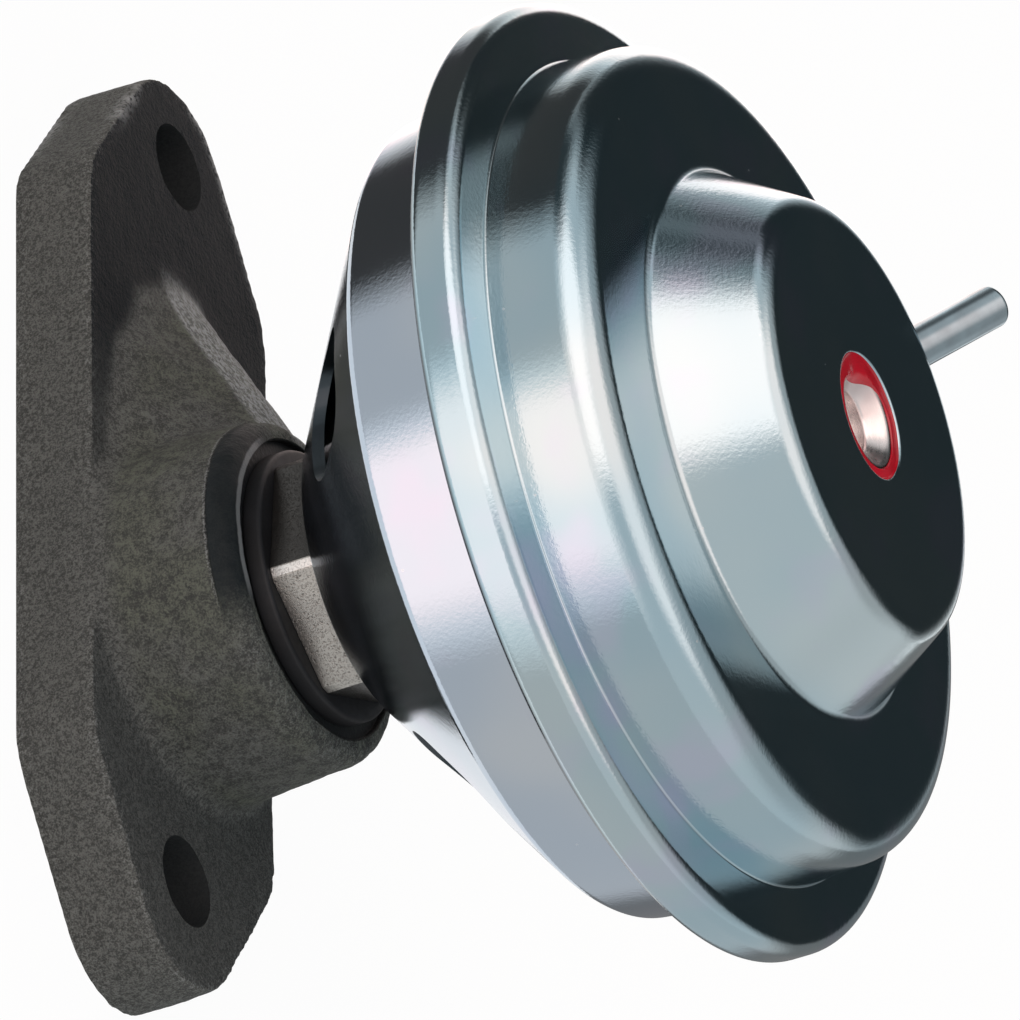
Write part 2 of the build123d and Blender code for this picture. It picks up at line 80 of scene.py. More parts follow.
# ---- shader building ------------------------------------------------------------------------
class Value:
    """A shader socket that carries a number and takes part in arithmetic."""

    def __init__(self, graph: "Graph", socket: bpy.types.NodeSocket) -> None:
        """Wraps a socket of a graph."""
        self.graph = graph
        self.socket = socket

    def math(
        self, operation: str, *others: "Value | float", first: "Value | float | None" = None
    ) -> "Value":
        """Adds a Math node.

        Args:
            operation: the node's operation.
            others: the inputs after this value.
            first: an input that goes before this value.

        Returns:
            The node's result.
        """
        inputs = [self, *others] if first is None else [first, self, *others]
        node = self.graph.add("ShaderNodeMath", {"operation": operation}, dict(enumerate(inputs)))
        return Value(self.graph, node.outputs[0])

    def __add__(self, other: "Value | float") -> "Value":
        """Sum."""
        return self.math("ADD", other)

    __radd__ = __add__

    def __sub__(self, other: "Value | float") -> "Value":
        """Difference."""
        return self.math("SUBTRACT", other)

    def __rsub__(self, other: "Value | float") -> "Value":
        """Difference from a number on the left."""
        return self.math("SUBTRACT", first=other)

    def __mul__(self, other: "Value | float") -> "Value":
        """Product."""
        return self.math("MULTIPLY", other)

    __rmul__ = __mul__

    def __truediv__(self, other: "Value | float") -> "Value":
        """Quotient."""
        return self.math("DIVIDE", other)

    def __rtruediv__(self, other: "Value | float") -> "Value":
        """Quotient of a number on the left."""
        return self.math("DIVIDE", first=other)

    def __pow__(self, other: "Value | float") -> "Value":
        """Power."""
        return self.math("POWER", other)

    def __abs__(self) -> "Value":
        """Size without its sign."""
        return self.math("ABSOLUTE")

    def __or__(self, other: "Value | float") -> "Value":
        """The larger of two masks."""
        return self.math("MAXIMUM", other)

    def step(self, low: float, high: float) -> "Value":
        """Smooth step from 0 at low to 1 at high.

        Args:
            low: where the result is 0.
            high: where the result is 1; it may be the smaller number.

        Returns:
            The step's value.
        """
        settings = {"interpolation_type": "SMOOTHSTEP"}
        inputs = {"Value": self, "From Min": low, "From Max": high}
        node = self.graph.add("ShaderNodeMapRange", settings, inputs)
        return Value(self.graph, node.outputs["Result"])

    def step_mm(self, low: float, high: float) -> "Value":
        """Smooth step of a length, from 0 at low to 1 at high, both in millimetres."""
        return self.step(low * MM, high * MM)


class Graph:
    """A node tree with a short way to add its nodes."""

    def __init__(self, tree: bpy.types.NodeTree) -> None:
        """Empties the tree and keeps it."""
        self.tree = tree
        tree.nodes.clear()

    def add(
        self, kind: str, settings: dict | None = None, inputs: dict | None = None
    ) -> bpy.types.Node:
        """Adds a node.

        Args:
            kind: the node's type.
            settings: the node's own properties, set before its sockets.
            inputs: a number, colour, Value or socket for each input, by name or index.

        Returns:
            The new node.
        """
        node = self.tree.nodes.new(kind)
        for name, setting in (settings or {}).items():
            setattr(node, name, setting)
        for name, given in (inputs or {}).items():
            socket = node.inputs[name]
            if isinstance(given, Value):
                self.tree.links.new(given.socket, socket)
            elif isinstance(given, bpy.types.NodeSocket):
                self.tree.links.new(given, socket)
            elif socket.type == "RGBA" and len(given) == 3:
                socket.default_value = (*given, 1)
            else:
                socket.default_value = given
        return node

    def out(self, node: bpy.types.Node, name: str | int = 0) -> Value:
        """One output of a node as a Value."""
        return Value(self, node.outputs[name])

    def place(self) -> tuple[bpy.types.NodeSocket, Value, Value, Value]:
        """Object coordinates in metres.

        Returns:
            The whole vector's socket, and its x, y and z.
        """
        whole = self.add("ShaderNodeTexCoord").outputs["Object"]
        split = self.add("ShaderNodeSeparateXYZ", None, {0: whole})
        return whole, self.out(split, 0), self.out(split, 1), self.out(split, 2)

    def painted(self, name: str) -> Value:
        """A number that is kept on the mesh's points."""
        return self.out(self.add("ShaderNodeAttribute", {"attribute_name": name}), "Fac")

    def facing(self) -> tuple[Value, ...]:
        """The surface's normal.

        Returns:
            Its x, y and z.
        """
        normal = self.add("ShaderNodeNewGeometry").outputs["Normal"]
        split = self.add("ShaderNodeSeparateXYZ", None, {0: normal})
        return tuple(self.out(split, k) for k in range(3))

    def noise(
        self,
        vector: bpy.types.NodeSocket | Value,
        scale: float,
        detail: float = 2,
        rough: float = 0.5,
    ) -> Value:
        """Noise between 0 and 1.

        Args:
            vector: where it is read.
            scale: how many features there are in a metre.
            detail: its octaves.
            rough: the weight of the small octaves.

        Returns:
            The noise's value.
        """
        inputs = {"Vector": vector, "Scale": scale, "Detail": detail, "Roughness": rough}
        return self.out(self.add("ShaderNodeTexNoise", None, inputs), "Fac")

    def cells(self, vector: bpy.types.NodeSocket | Value, scale: float) -> Value:
        """Distance to the nearest of many scattered points, 0 at each point."""
        inputs = {"Vector": vector, "Scale": scale}
        return self.out(self.add("ShaderNodeTexVoronoi", None, inputs), "Distance")

    def vector(self, x: Value | float, y: Value | float, z: Value | float) -> Value:
        """Vector of three values."""
        return self.out(self.add("ShaderNodeCombineXYZ", None, {0: x, 1: y, 2: z}))

    def mix(self, factor: Value | float, low: object, high: object) -> bpy.types.NodeSocket:
        """Colour between two colours.

        Args:
            factor: 0 for the first colour, 1 for the second.
            low: the first colour, as numbers or a socket.
            high: the second colour, as numbers or a socket.

        Returns:
            The mixed colour's socket.
        """
        node = self.add("ShaderNodeMix", {"data_type": "RGBA"}, {0: factor, 6: low, 7: high})
        return node.outputs[2]

    def surface(self, inputs: dict, bump: Value, depth: float, strength: float = 1.0) -> None:
        """Ends a material in a Principled shader.

        Args:
            inputs: the shader's inputs by name.
            bump: the height that raises the surface, from 0 to 1.
            depth: how far it is raised, in metres.
            strength: the bump's share.
        """
        heights = {"Height": bump, "Distance": depth, "Strength": strength}
        normal = self.add("ShaderNodeBump", None, heights).outputs[0]
        shader = self.add("ShaderNodeBsdfPrincipled", None, inputs | {"Normal": normal})
        self.add("ShaderNodeOutputMaterial", None, {"Surface": shader.outputs[0]})


# ---- finishes -------------------------------------------------------------------------------
@dataclass(frozen=True)
class Finish:
    """A named surface finish."""

    name: str

    def material(self) -> bpy.types.Material:
        """The finish's material, made at the first call.

        Returns:
            The same material at every call.
        """
        made = bpy.data.materials.get(self.name)
        if made is None:
            made = bpy.data.materials.new(self.name)
            made.use_nodes = True
            self.dress(Graph(made.node_tree))
        return made

    def dress(self, graph: Graph) -> None:
        """Builds the finish's nodes."""
        raise NotImplementedError


@dataclass(frozen=True)
class CastIron(Finish):
    """Sand-cast iron: dark and grainy, with a machined boss edge, smooth bores and worn edges, plus painted
    shade on the flange's top, the boss's band and the bores, and painted highlights on the boss's edges.
    """

    dark: Colour = (0.050, 0.0545, 0.053)
    light: Colour = (0.130, 0.142, 0.136)
    olive: Colour = (0.120, 0.136, 0.112)
    # painted shade: dark blue that stands for shade and dark reflection on the flange's top and on one side
    # of the boss's band
    painted_shade_blue: Colour = (0.008, 0.0125, 0.0155)
    # pale colour of worn places, also used for the painted highlights on the boss's edges
    worn_and_glint_colour: Colour = (0.34, 0.375, 0.385)
    # painted shade: the darkness inside the bolt holes and the boss's recess
    bore: Colour = (0.015, 0.018, 0.020)
    fine_scale: float = 5600.0
    lump_scale: float = 2300.0
    blob_scale: float = 800.0
    cloud_scale: float = 90.0
    streak_scale: float = 1500.0
    grain_height: float = 0.0003
    plate_top: float = 8.0
    # the painted shade on the flange's top grows from the first of these x values to the second
    plate_shade_from: float = 8.0
    plate_shade_to: float = -18.0
    boss_x: float = STEM_X
    boss_top: float = 22.0
    recess_r: float = 14.2
    recess_z: float = 21.0
    chamfer_from: float = 19.4
    # azimuth of the side where the boss's band gets painted shade and its edges get painted highlights
    chamfer_side: float = 262.0
    bolt_x: float = 39.7
    bolt_r: float = 4.35
    bruised_from: float = -28.0
    bruised_to: float = -42.0

    def dress(self, graph: Graph) -> None:
        """Sand in three sizes, then painted shade on the flange's top, the boss's band and the bores, then
        what is worn bright, with painted highlights on the boss's edges.

        Args:
            graph: the material's nodes.
        """
        whole, x, y, z = graph.place()
        upward = graph.facing()[2]
        fine = graph.noise(whole, self.fine_scale, 2, 0.6)
        lumps = graph.noise(whole, self.lump_scale, 2, 0.6)
        blobs = graph.noise(whole, self.blob_scale)
        clouds = graph.noise(whole, self.cloud_scale, 3, 0.6)
        streaks = graph.noise(graph.vector(x, y * 3.0, z * 0.6), self.streak_scale, 3, 0.75)
        wear, ridge = graph.painted("wear"), graph.painted("ridge")
        across = x - self.boss_x * MM
        apart = (across * across + y * y) ** 0.5
        turn = radians(self.chamfer_side)
        side = (across * cos(turn) + y * sin(turn)) / apart
        raised = z.step_mm(self.plate_top + 0.5, self.plate_top + 3)

        grain = fine * 0.50 + lumps * 0.32 + blobs * (0.10 + raised * 0.20)
        sandy = (grain / (0.92 + raised * 0.20)).step(0.40, 0.60)
        pale = graph.mix(raised * clouds.step(0.3, 0.6), self.light, self.olive)
        ground = graph.mix(sandy, self.dark, pale)

        # painted shade: the flange's top is darkened, more towards -x, with cloudy strength
        plate = upward.step(0.80, 0.97) * z.step_mm(self.plate_top + 0.85, self.plate_top + 0.25)
        plate *= 0.32 + x.step_mm(self.plate_shade_from, self.plate_shade_to) * 0.66
        plate *= 0.85 + clouds * 0.3
        level = z + (lumps - 0.5) * 0.5 * MM - self.chamfer_from * MM
        # the boss's machined band: smooth, and on the side toward chamfer_side also darkened with painted
        # shade
        band_smooth_and_shade = level.step_mm(0.0, 0.3) * side.step(0.6, 0.85) * ridge.step(0.3, 0.0)
        ground = graph.mix(plate | band_smooth_and_shade * 0.92, ground, self.painted_shade_blue)

        # painted shade: the bolt holes' walls and the recess are darkened; they are also left smooth
        out = ((abs(x) - self.bolt_x * MM) ** 2.0 + y * y) ** 0.5
        bore_smooth_and_shade = out.step_mm(self.bolt_r + 0.25, self.bolt_r + 0.05) * abs(upward).step(0.6, 0.3)
        recess = apart.step_mm(self.recess_r + 0.3, self.recess_r)
        recess *= z.step_mm(self.recess_z - 0.4, self.recess_z)
        bore_smooth_and_shade = bore_smooth_and_shade | recess
        ground = graph.mix(bore_smooth_and_shade * 0.9, ground, self.bore)

        # painted highlights: bright lines on the recess's edge and on the band's edge, on one side only
        edge_glint = apart.step_mm(self.recess_r + 0.8, self.recess_r + 0.55)
        edge_glint *= apart.step_mm(self.recess_r, self.recess_r + 0.15)
        edge_glint *= z.step_mm(self.boss_top - 0.6, self.boss_top - 0.3) * side.step(0.7, 0.9)
        band_edge_glint = abs(level).step_mm(0.2, 0.05) * side.step(0.7, 0.9) * fine.step(0.42, 0.56)
        bruise = wear * x.step_mm(self.bruised_from, self.bruised_to)
        bruise *= clouds.step(0.44, 0.56) * (0.3 + lumps).step(0.62, 0.85)
        specks = wear * (fine * 0.5 + lumps * 0.5).step(0.52, 0.66) * (1 - band_smooth_and_shade)
        crest = ridge * (0.20 + streaks.step(0.42, 0.58) * 0.68)
        # real wear, plus the painted highlights on the edges
        wear_and_glint = bruise | specks * 0.42 | edge_glint * 0.5 | band_edge_glint * 0.4 | crest

        smooth = band_smooth_and_shade | bore_smooth_and_shade
        inputs = {
            "Base Color": graph.mix(wear_and_glint, ground, self.worn_and_glint_colour),
            "Roughness": 0.70 - wear_and_glint * 0.2 - smooth * 0.22 + fine * 0.1,
            "Specular IOR Level": 0.1,
        }
        height = (fine * 0.5 + lumps * 1.2 + blobs * raised * 1.2) * (1 - smooth * 0.85)
        graph.surface(inputs, height, self.grain_height)


@dataclass(frozen=True)
class ZincSteel(Finish):
    """Pressed sheet steel with bright zinc and a clear blue passivate."""

    cool: Colour = (0.42, 0.57, 0.64)
    warm: Colour = (0.53, 0.63, 0.66)
    lilac: Colour = (0.55, 0.56, 0.70)
    roughness: float = 0.12
    streaks: float = 0.5
    speck: Colour = (0.75, 0.78, 0.80)
    # painted shade on the windows' cut edges and under the rim's roll
    painted_shade_dark: Colour = (0.018, 0.026, 0.030)
    mark_scale: float = 2600.0
    peel_scale: float = 2600.0
    cloud_scale: float = 34.0
    drift_scale: float = 90.0
    speck_scale: float = 190.0
    peel_height: float = 0.000028
    axis_x: float = STEM_X
    cut_r: float = 32.4
    cut_top: float = 47.0
    rim_r: float = 42.0

    def dress(self, graph: Graph) -> None:
        """Faint drawing marks round the axis, clouds of passivate, specks, rougher cut edges, and painted
        shade on the cut edges and under the rim.

        Args:
            graph: the material's nodes.
        """
        whole, x, y, z = graph.place()
        upward = graph.facing()[2]
        x = x - self.axis_x * MM
        r = (x * x + y * y) ** 0.5
        around = graph.vector(x / r * 1.6, y / r * 1.6, (z - r * 0.8) * self.mark_scale)
        marks = graph.noise(around, 1.0, 4, 0.7)
        peel = graph.noise(whole, self.peel_scale, 2, 0.6)
        clouds = graph.noise(whole, self.cloud_scale)
        drift = graph.noise(whole, self.drift_scale)
        specks = graph.cells(whole, self.speck_scale).step(0.032, 0.018)
        colour = graph.mix(clouds.step(0.42, 0.66), self.cool, self.warm)
        colour = graph.mix(drift.step(0.52, 0.72) * 0.6, colour, self.lilac)
        colour = graph.mix(specks * 0.5, colour, self.speck)
        # the windows' cut edges: rougher, and darkened with painted shade
        cut_rough_and_shade = abs(upward).step(0.5, 0.3) * r.step_mm(self.cut_r, self.cut_r - 0.6)
        cut_rough_and_shade *= z.step_mm(self.cut_top, self.cut_top - 1)
        # painted shade under the rim's roll
        under = upward.step(-0.35, -0.75) * r.step_mm(self.rim_r - 1, self.rim_r)
        shine = self.roughness + (marks - 0.5) * 0.08 * self.streaks + (drift - 0.5) * 0.05
        inputs = {
            "Base Color": graph.mix((cut_rough_and_shade | under) * 0.94, colour, self.painted_shade_dark),
            "Metallic": 1.0,
            "Roughness": shine + specks * 0.2 + cut_rough_and_shade * 0.2,
        }
        height = marks * self.streaks * 0.8 + drift * 0.5 + peel * 1.1
        graph.surface(inputs, height, self.peel_height, 0.5)


@dataclass(frozen=True)
class Scuffed(Finish):
    """Plain or plated steel with fine scratches and faint stains."""

    colour: Colour = (0.42, 0.42, 0.41)
    darker_tone: Colour = (0.30, 0.28, 0.26)
    roughness: float = 0.32
    scratch: float = 2600.0
    cloud_scale: float = 160.0
    scratch_height: float = 0.00002

    def dress(self, graph: Graph) -> None:
        """Scratches across the piece, with stains between them.

        Args:
            graph: the material's nodes.
        """
        whole, x, y, z = graph.place()
        lines = graph.noise(graph.vector(x * 0.18, y * 0.18, z), self.scratch, 3, 0.7)
        clouds = graph.noise(whole, self.cloud_scale, 3, 0.6)
        inputs = {
            "Base Color": graph.mix(clouds.step(0.4, 0.72) * 0.7, self.colour, self.darker_tone),
            "Metallic": 1.0,
            "Roughness": self.roughness + (lines - 0.5) * 0.22 + clouds.step(0.45, 0.8) * 0.12,
        }
        graph.surface(inputs, lines, self.scratch_height, 0.6)


@dataclass(frozen=True)
class Sintered(Finish):
    """Pressed and sintered iron: satin, with fine dark pores, with painted shade on all sides but the lit
    one and a painted highlight on one corner.
    """

    colour: Colour = (0.46, 0.45, 0.42)
    cloud: Colour = (0.38, 0.37, 0.35)
    pore: Colour = (0.12, 0.115, 0.105)
    # painted shade for the faces that look away from the lit side
    darker_tone: Colour = (0.045, 0.045, 0.044)
    # painted highlight on the hex's flattened corner
    bright: Colour = (0.74, 0.74, 0.72)
    pore_scale: float = 5200.0
    pit_scale: float = 1900.0
    cloud_scale: float = 260.0
    pore_height: float = 0.00005
    # azimuth of the lit face, the one left without painted shade
    lit_side: float = 324.0

    def dress(self, graph: Graph) -> None:
        """Two sizes of pores in a cloudy grey, painted shade on the faces away from the lit side, and a
        painted highlight on one corner.

        Args:
            graph: the material's nodes.
        """
        whole = graph.place()[0]
        pores = graph.noise(whole, self.pore_scale, 2, 0.7).step(0.50, 0.36)
        pits = graph.cells(whole, self.pit_scale).step(0.26, 0.14)
        clouds = graph.noise(whole, self.cloud_scale, 3, 0.6)
        colour = graph.mix(clouds.step(0.3, 0.75), self.colour, self.cloud)
        colour = graph.mix(pores * 0.35, colour, self.pore)
        colour = graph.mix(pits * 0.55, colour, self.pore)
        along, sideways, _ = graph.facing()
        turn = radians(self.lit_side)
        front = along * cos(turn) + sideways * sin(turn)
        beside = along * sin(turn) - sideways * cos(turn)
        # painted highlight: the corner flat beside the lit face
        corner_glint = abs(front - cos(pi / 6)).step(0.06, 0.02) * beside.step(0.0, 0.3)
        # painted shade on every face but the lit one
        colour = graph.mix(front.step(0.78, 0.62) * 0.9, colour, self.darker_tone)
        inputs = {
            "Base Color": graph.mix(corner_glint, colour, self.bright),
            "Metallic": 0.92,
            "Roughness": 0.36 + pores * 0.15,
        }
        graph.surface(inputs, 1 - pores * 0.5 - pits * 0.6, self.pore_height, 0.7)


@dataclass(frozen=True)
class Coating(Finish):
    """Smooth non-metal: rubber, packing, gasket or lacquer."""

    colour: Colour = (0.02, 0.02, 0.022)
    other: Colour = (0.035, 0.035, 0.037)
    roughness: float = 0.5
    grain: float = 900.0
    coat: float = 0.0
    depth: float = 0.00004

    def dress(self, graph: Graph) -> None:
        """Cloudy colour with a fine grain.

        Args:
            graph: the material's nodes.
        """
        whole = graph.place()[0]
        grain = graph.noise(whole, self.grain, 3, 0.6)
        clouds = graph.noise(whole, self.grain / 6)
        inputs = {
            "Base Color": graph.mix(clouds.step(0.35, 0.7), self.colour, self.other),
            "Roughness": self.roughness + (grain - 0.5) * 0.2,
            "Coat Weight": self.coat,
        }
        graph.surface(inputs, grain, self.depth, 0.6)


class Skin(Enum):
    """The finishes of the valve, one for each kind of surface."""

    CAST_IRON = CastIron("cast_iron_finish")
    ZINC = ZincSteel("zinc_finish")
    ZINC_LOWER = ZincSteel(
        "zinc_lower_finish", (0.52, 0.60, 0.69), (0.61, 0.66, 0.71), (0.58, 0.575, 0.70), 0.12, 0.4
    )
    TUBE = Scuffed("tube_finish", (0.38, 0.48, 0.53), (0.26, 0.31, 0.34), 0.13, 900.0)
    PLUG = Scuffed("plug_finish", (0.84, 0.80, 0.79), (0.60, 0.50, 0.50), 0.26, 3000.0)
    LACQUER = Coating(
        "lacquer_finish", (0.34, 0.002, 0.010), (0.55, 0.008, 0.026), 0.2, 900.0, 0.3
    )
    # a black gasket, made darker than rubber as painted shade under the hex
    GASKET = Coating("gasket_and_shade_finish", (0.001, 0.002, 0.004), (0.004, 0.006, 0.009), 0.62, 1100.0)
    BUSHING = Sintered("sintered_finish")
    RUBBER = Coating("diaphragm_finish", (0.018, 0.018, 0.02), (0.03, 0.03, 0.032), 0.6, 1600.0)
    PACKING = Coating(
        "packing_finish", (0.04, 0.04, 0.042), (0.075, 0.073, 0.07), 0.7, 1900.0, 0.0, 0.00008
    )
    STEEL = Scuffed("steel_finish")
    SEAT = Scuffed("seat_finish", (0.46, 0.44, 0.42), (0.20, 0.17, 0.15), 0.3, 2200.0)
    STEM = Scuffed("stem_finish", (0.52, 0.51, 0.49), (0.36, 0.33, 0.30), 0.2, 3600.0)
    SPRING = Scuffed("spring_finish", (0.30, 0.30, 0.31), (0.19, 0.18, 0.18), 0.34, 1500.0)
    PLATE = Scuffed("plate_finish", (0.56, 0.50, 0.33), (0.50, 0.36, 0.30), 0.3, 1900.0)


# ---- mesh building --------------------------------------------------------------------------
def rounded(
    outline: Sequence[Point],
    radii: Sequence[float] | float = 0,
    closed: bool = True,
    step: float = 6.0,
) -> list[Point]:
    """Rounds the corners of a polygon and sets guard points beside each round.

    Args:
        outline: the corners.
        radii: a radius for each corner, or one for all.
        closed: whether the last corner joins the first.
        step: the largest turn of one chord of a round, in degrees.

    Returns:
        The points of the rounded outline.
    """
    count = len(outline)
    sizes = [float(radii)] * count if isinstance(radii, (int, float)) else list(radii)
    points: list[Point] = []
    for index, (x, y) in enumerate(outline):
        if sizes[index] <= 0 or (not closed and index in (0, count - 1)):
            points.append((x, y))
            continue
        before, after = outline[index - 1], outline[(index + 1) % count]
        radius = sizes[index]
        start = atan2(y - before[1], x - before[0])
        turn = (degrees(atan2(after[1] - y, after[0] - x) - start) + 180) % 360 - 180
        reach = radius * tan(radians(abs(turn)) / 2)
        side = 1 if turn > 0 else -1
        first = (x - reach * cos(start), y - reach * sin(start))
        centre = (first[0] - side * radius * sin(start), first[1] + side * radius * cos(start))
        chords = max(2, ceil(abs(turn) / step))
        guard = min(GUARD, radius / 4)
        points.append((first[0] - guard * cos(start), first[1] - guard * sin(start)))
        for chord in range(chords + 1):
            at = start - side * pi / 2 + radians(turn) * chord / chords
            points.append((centre[0] + radius * cos(at), centre[1] + radius * sin(at)))
        end = start + radians(turn)
        points.append((points[-1][0] + guard * cos(end), points[-1][1] + guard * sin(end)))
    return points


def sheet(path: Sequence[Point], bends: Sequence[float], thickness: float) -> list[Point]:
    """Closed outline of a sheet of even thickness along a path.

    Args:
        path: the corners of the sheet's middle line.
        bends: the middle line's radius at each inner corner.
        thickness: the sheet's thickness.

    Returns:
        The points of the outline, with its corners rounded.
    """
    half = thickness / 2
    sides: tuple[list[Point], list[Point]] = ([], [])
    rounds: tuple[list[float], list[float]] = ([], [])
    every = [0.0, *bends, 0.0]
    for index, (x, y) in enumerate(path):
        before = path[index - 1] if index else None
        after = path[index + 1] if index < len(path) - 1 else None
        start = atan2(y - before[1], x - before[0]) if before else None
        end = atan2(after[1] - y, after[0] - x) if after else start
        start = end if start is None else start
        turn = (degrees(end - start) + 180) % 360 - 180
        normal = start + radians(turn) / 2 + pi / 2
        reach = half / cos(radians(turn) / 2)
        tip = before is None or after is None
        for side, sign in enumerate((1, -1)):
            sides[side].append((x + sign * reach * cos(normal), y + sign * reach * sin(normal)))
            inner = turn * sign > 0
            bend = every[index] + (-half if inner else half)
            rounds[side].append(TIP_ROUND if tip else max(bend, LEAST_ROUND))
    return rounded(sides[0] + sides[1][::-1], rounds[0] + rounds[1][::-1])


@dataclass(frozen=True)
class Axis3:
    """A line that round pieces are turned about."""

    origin: tuple[float, float, float] = (STEM_X, 0.0, 0.0)
    direction: tuple[float, float, float] = (0.0, 0.0, 1.0)

    def matrix(self) -> Matrix:
        """Turns millimetres about Z into the row's frame in metres."""
        turn = Vector((0, 0, 1)).rotation_difference(Vector(self.direction)).to_matrix().to_4x4()
        return Matrix.Translation(Vector(self.origin) * MM) @ turn @ Matrix.Scale(MM, 4)


class Maker:
    """Makes mesh objects whose place is in their mesh."""

    @staticmethod
    def mesh(
        name: str, points: Sequence, faces: Sequence, place: Matrix | None = None
    ) -> bpy.types.Object:
        """Makes an object.

        Args:
            name: the object's name.
            points: its vertices.
            faces: its faces, as indices.
            place: what the vertices are turned by.

        Returns:
            The new object, at the origin.
        """
        mesh = bpy.data.meshes.new(name)
        mesh.from_pydata([tuple(p) for p in points], [], [tuple(f) for f in faces])
        if place is not None:
            mesh.transform(place)
        made = bpy.data.objects.new(name, mesh)
        bpy.context.scene.collection.objects.link(made)
        Maker.outwards(made)
        return made

    @staticmethod
    def outwards(made: bpy.types.Object) -> None:
        """Merges doubles and turns every face outwards.

        Args:
            made: the closed object that is put right.
        """
        work = bmesh.new()
        work.from_mesh(made.data)
        bmesh.ops.remove_doubles(work, verts=work.verts, dist=1e-8)
        bmesh.ops.recalc_face_normals(work, faces=work.faces)
        work.to_mesh(made.data)
        work.free()

    @staticmethod
    def lathe(
        name: str, outline: Sequence[Point], axis: Axis3 = Axis3(), segments: int = 256
    ) -> bpy.types.Object:
        """Turns a closed outline about an axis.

        Args:
            name: the object's name.
            outline: (radius, height) points; points at radius 0 become poles.
            axis: what it is turned about.
            segments: the number of steps in a whole turn.

        Returns:
            The turned object.
        """
        turns = [2 * pi * k / segments for k in range(segments)]
        points, rows = [], []
        for r, z in outline:
            if r < 1e-6:
                rows.append([len(points)] * segments)
                points.append((0.0, 0.0, z))
                continue
            rows.append(list(range(len(points), len(points) + segments)))
            points += [(r * cos(turn), r * sin(turn), z) for turn in turns]
        faces = []
        for low, high in zip(rows, rows[1:] + rows[:1]):
            if low[0] == low[1] and high[0] == high[1]:
                continue
            for k in range(segments):
                n = (k + 1) % segments
                faces.append(tuple(dict.fromkeys((low[k], low[n], high[n], high[k]))))
        return Maker.mesh(name, points, faces, axis.matrix())

    @staticmethod
    def prism(
        name: str,
        outline: Sequence[Point],
        low: float,
        high: float,
        place: Matrix | None = None,
        top: Sequence[Point] | None = None,
    ) -> bpy.types.Object:
        """Upright prism from an outline in millimetres.

        Args:
            name: the object's name.
            outline: its corners.
            low: its lower level.
            high: its upper level.
            place: what it is turned by before it is scaled to metres.
            top: the corners at the upper level, where they differ.

        Returns:
            The prism.
        """
        count = len(outline)
        points = [(x, y, low) for x, y in outline] + [(x, y, high) for x, y in top or outline]
        sides = [
            (k, (k + 1) % count, count + (k + 1) % count, count + k) for k in range(count)
        ]
        faces = [tuple(range(count))[::-1], tuple(range(count, 2 * count)), *sides]
        scale = Matrix.Scale(MM, 4)
        return Maker.mesh(name, points, faces, scale @ (place or Matrix.Identity(4)))

    @staticmethod
    def modify(target: bpy.types.Object, kind: str, **settings: object) -> None:
        """Adds a modifier to an object and applies it at once.

        Args:
            target: the object.
            kind: the modifier's type.
            **settings: its properties.
        """
        modifier = target.modifiers.new(kind.lower(), kind)
        for name, setting in settings.items():
            setattr(modifier, name, setting)
        graph = bpy.context.evaluated_depsgraph_get()
        graph.update()
        result = bpy.data.meshes.new_from_object(target.evaluated_get(graph))
        target.modifiers.remove(modifier)
        old, target.data = target.data, result
        bpy.data.meshes.remove(old)

    @staticmethod
    def combine(target: bpy.types.Object, tool: bpy.types.Object, operation: str) -> None:
        """Joins a tool to an object or cuts it away, and removes the tool."""
        Maker.modify(target, "BOOLEAN", operation=operation, object=tool, solver="EXACT")
        bpy.data.objects.remove(tool)

    @staticmethod
    def join(target: bpy.types.Object, others: Sequence[bpy.types.Object]) -> None:
        """Adds other objects' meshes to an object's, as loose shells, and removes them.

        Args:
            target: the object that grows.
            others: the objects that go into it.
        """
        work = bmesh.new()
        for each in (target, *others):
            work.from_mesh(each.data)
        work.to_mesh(target.data)
        work.free()
        for each in others:
            bpy.data.objects.remove(each)

    @staticmethod
    def smooth(target: bpy.types.Object, angle: float = 32.0) -> None:
        """Shades an object smooth, with edges sharper than an angle left sharp."""
        target.data.shade_smooth()
        target.data.set_sharp_from_angle(angle=radians(angle))


@dataclass
class Piece:
    """A finished piece and what it stands for."""

    made: bpy.types.Object
    finish: Skin
    slot: str
    nodes: tuple[str, ...]
    body: str = "casing"

    def settle(self) -> bpy.types.Object:
        """Dresses the piece, sets it on its body and reports it.

        Returns:
            The finished object.
        """
        self.made.data.materials.clear()
        self.made.data.materials.append(self.finish.value.material())
        if "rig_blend" not in self.made:
            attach(self.made, self.body)
        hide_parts(*self.nodes)
        LOG.info("%s: %d faces on %s", self.made.name, len(self.made.data.polygons), self.body)
        return self.made


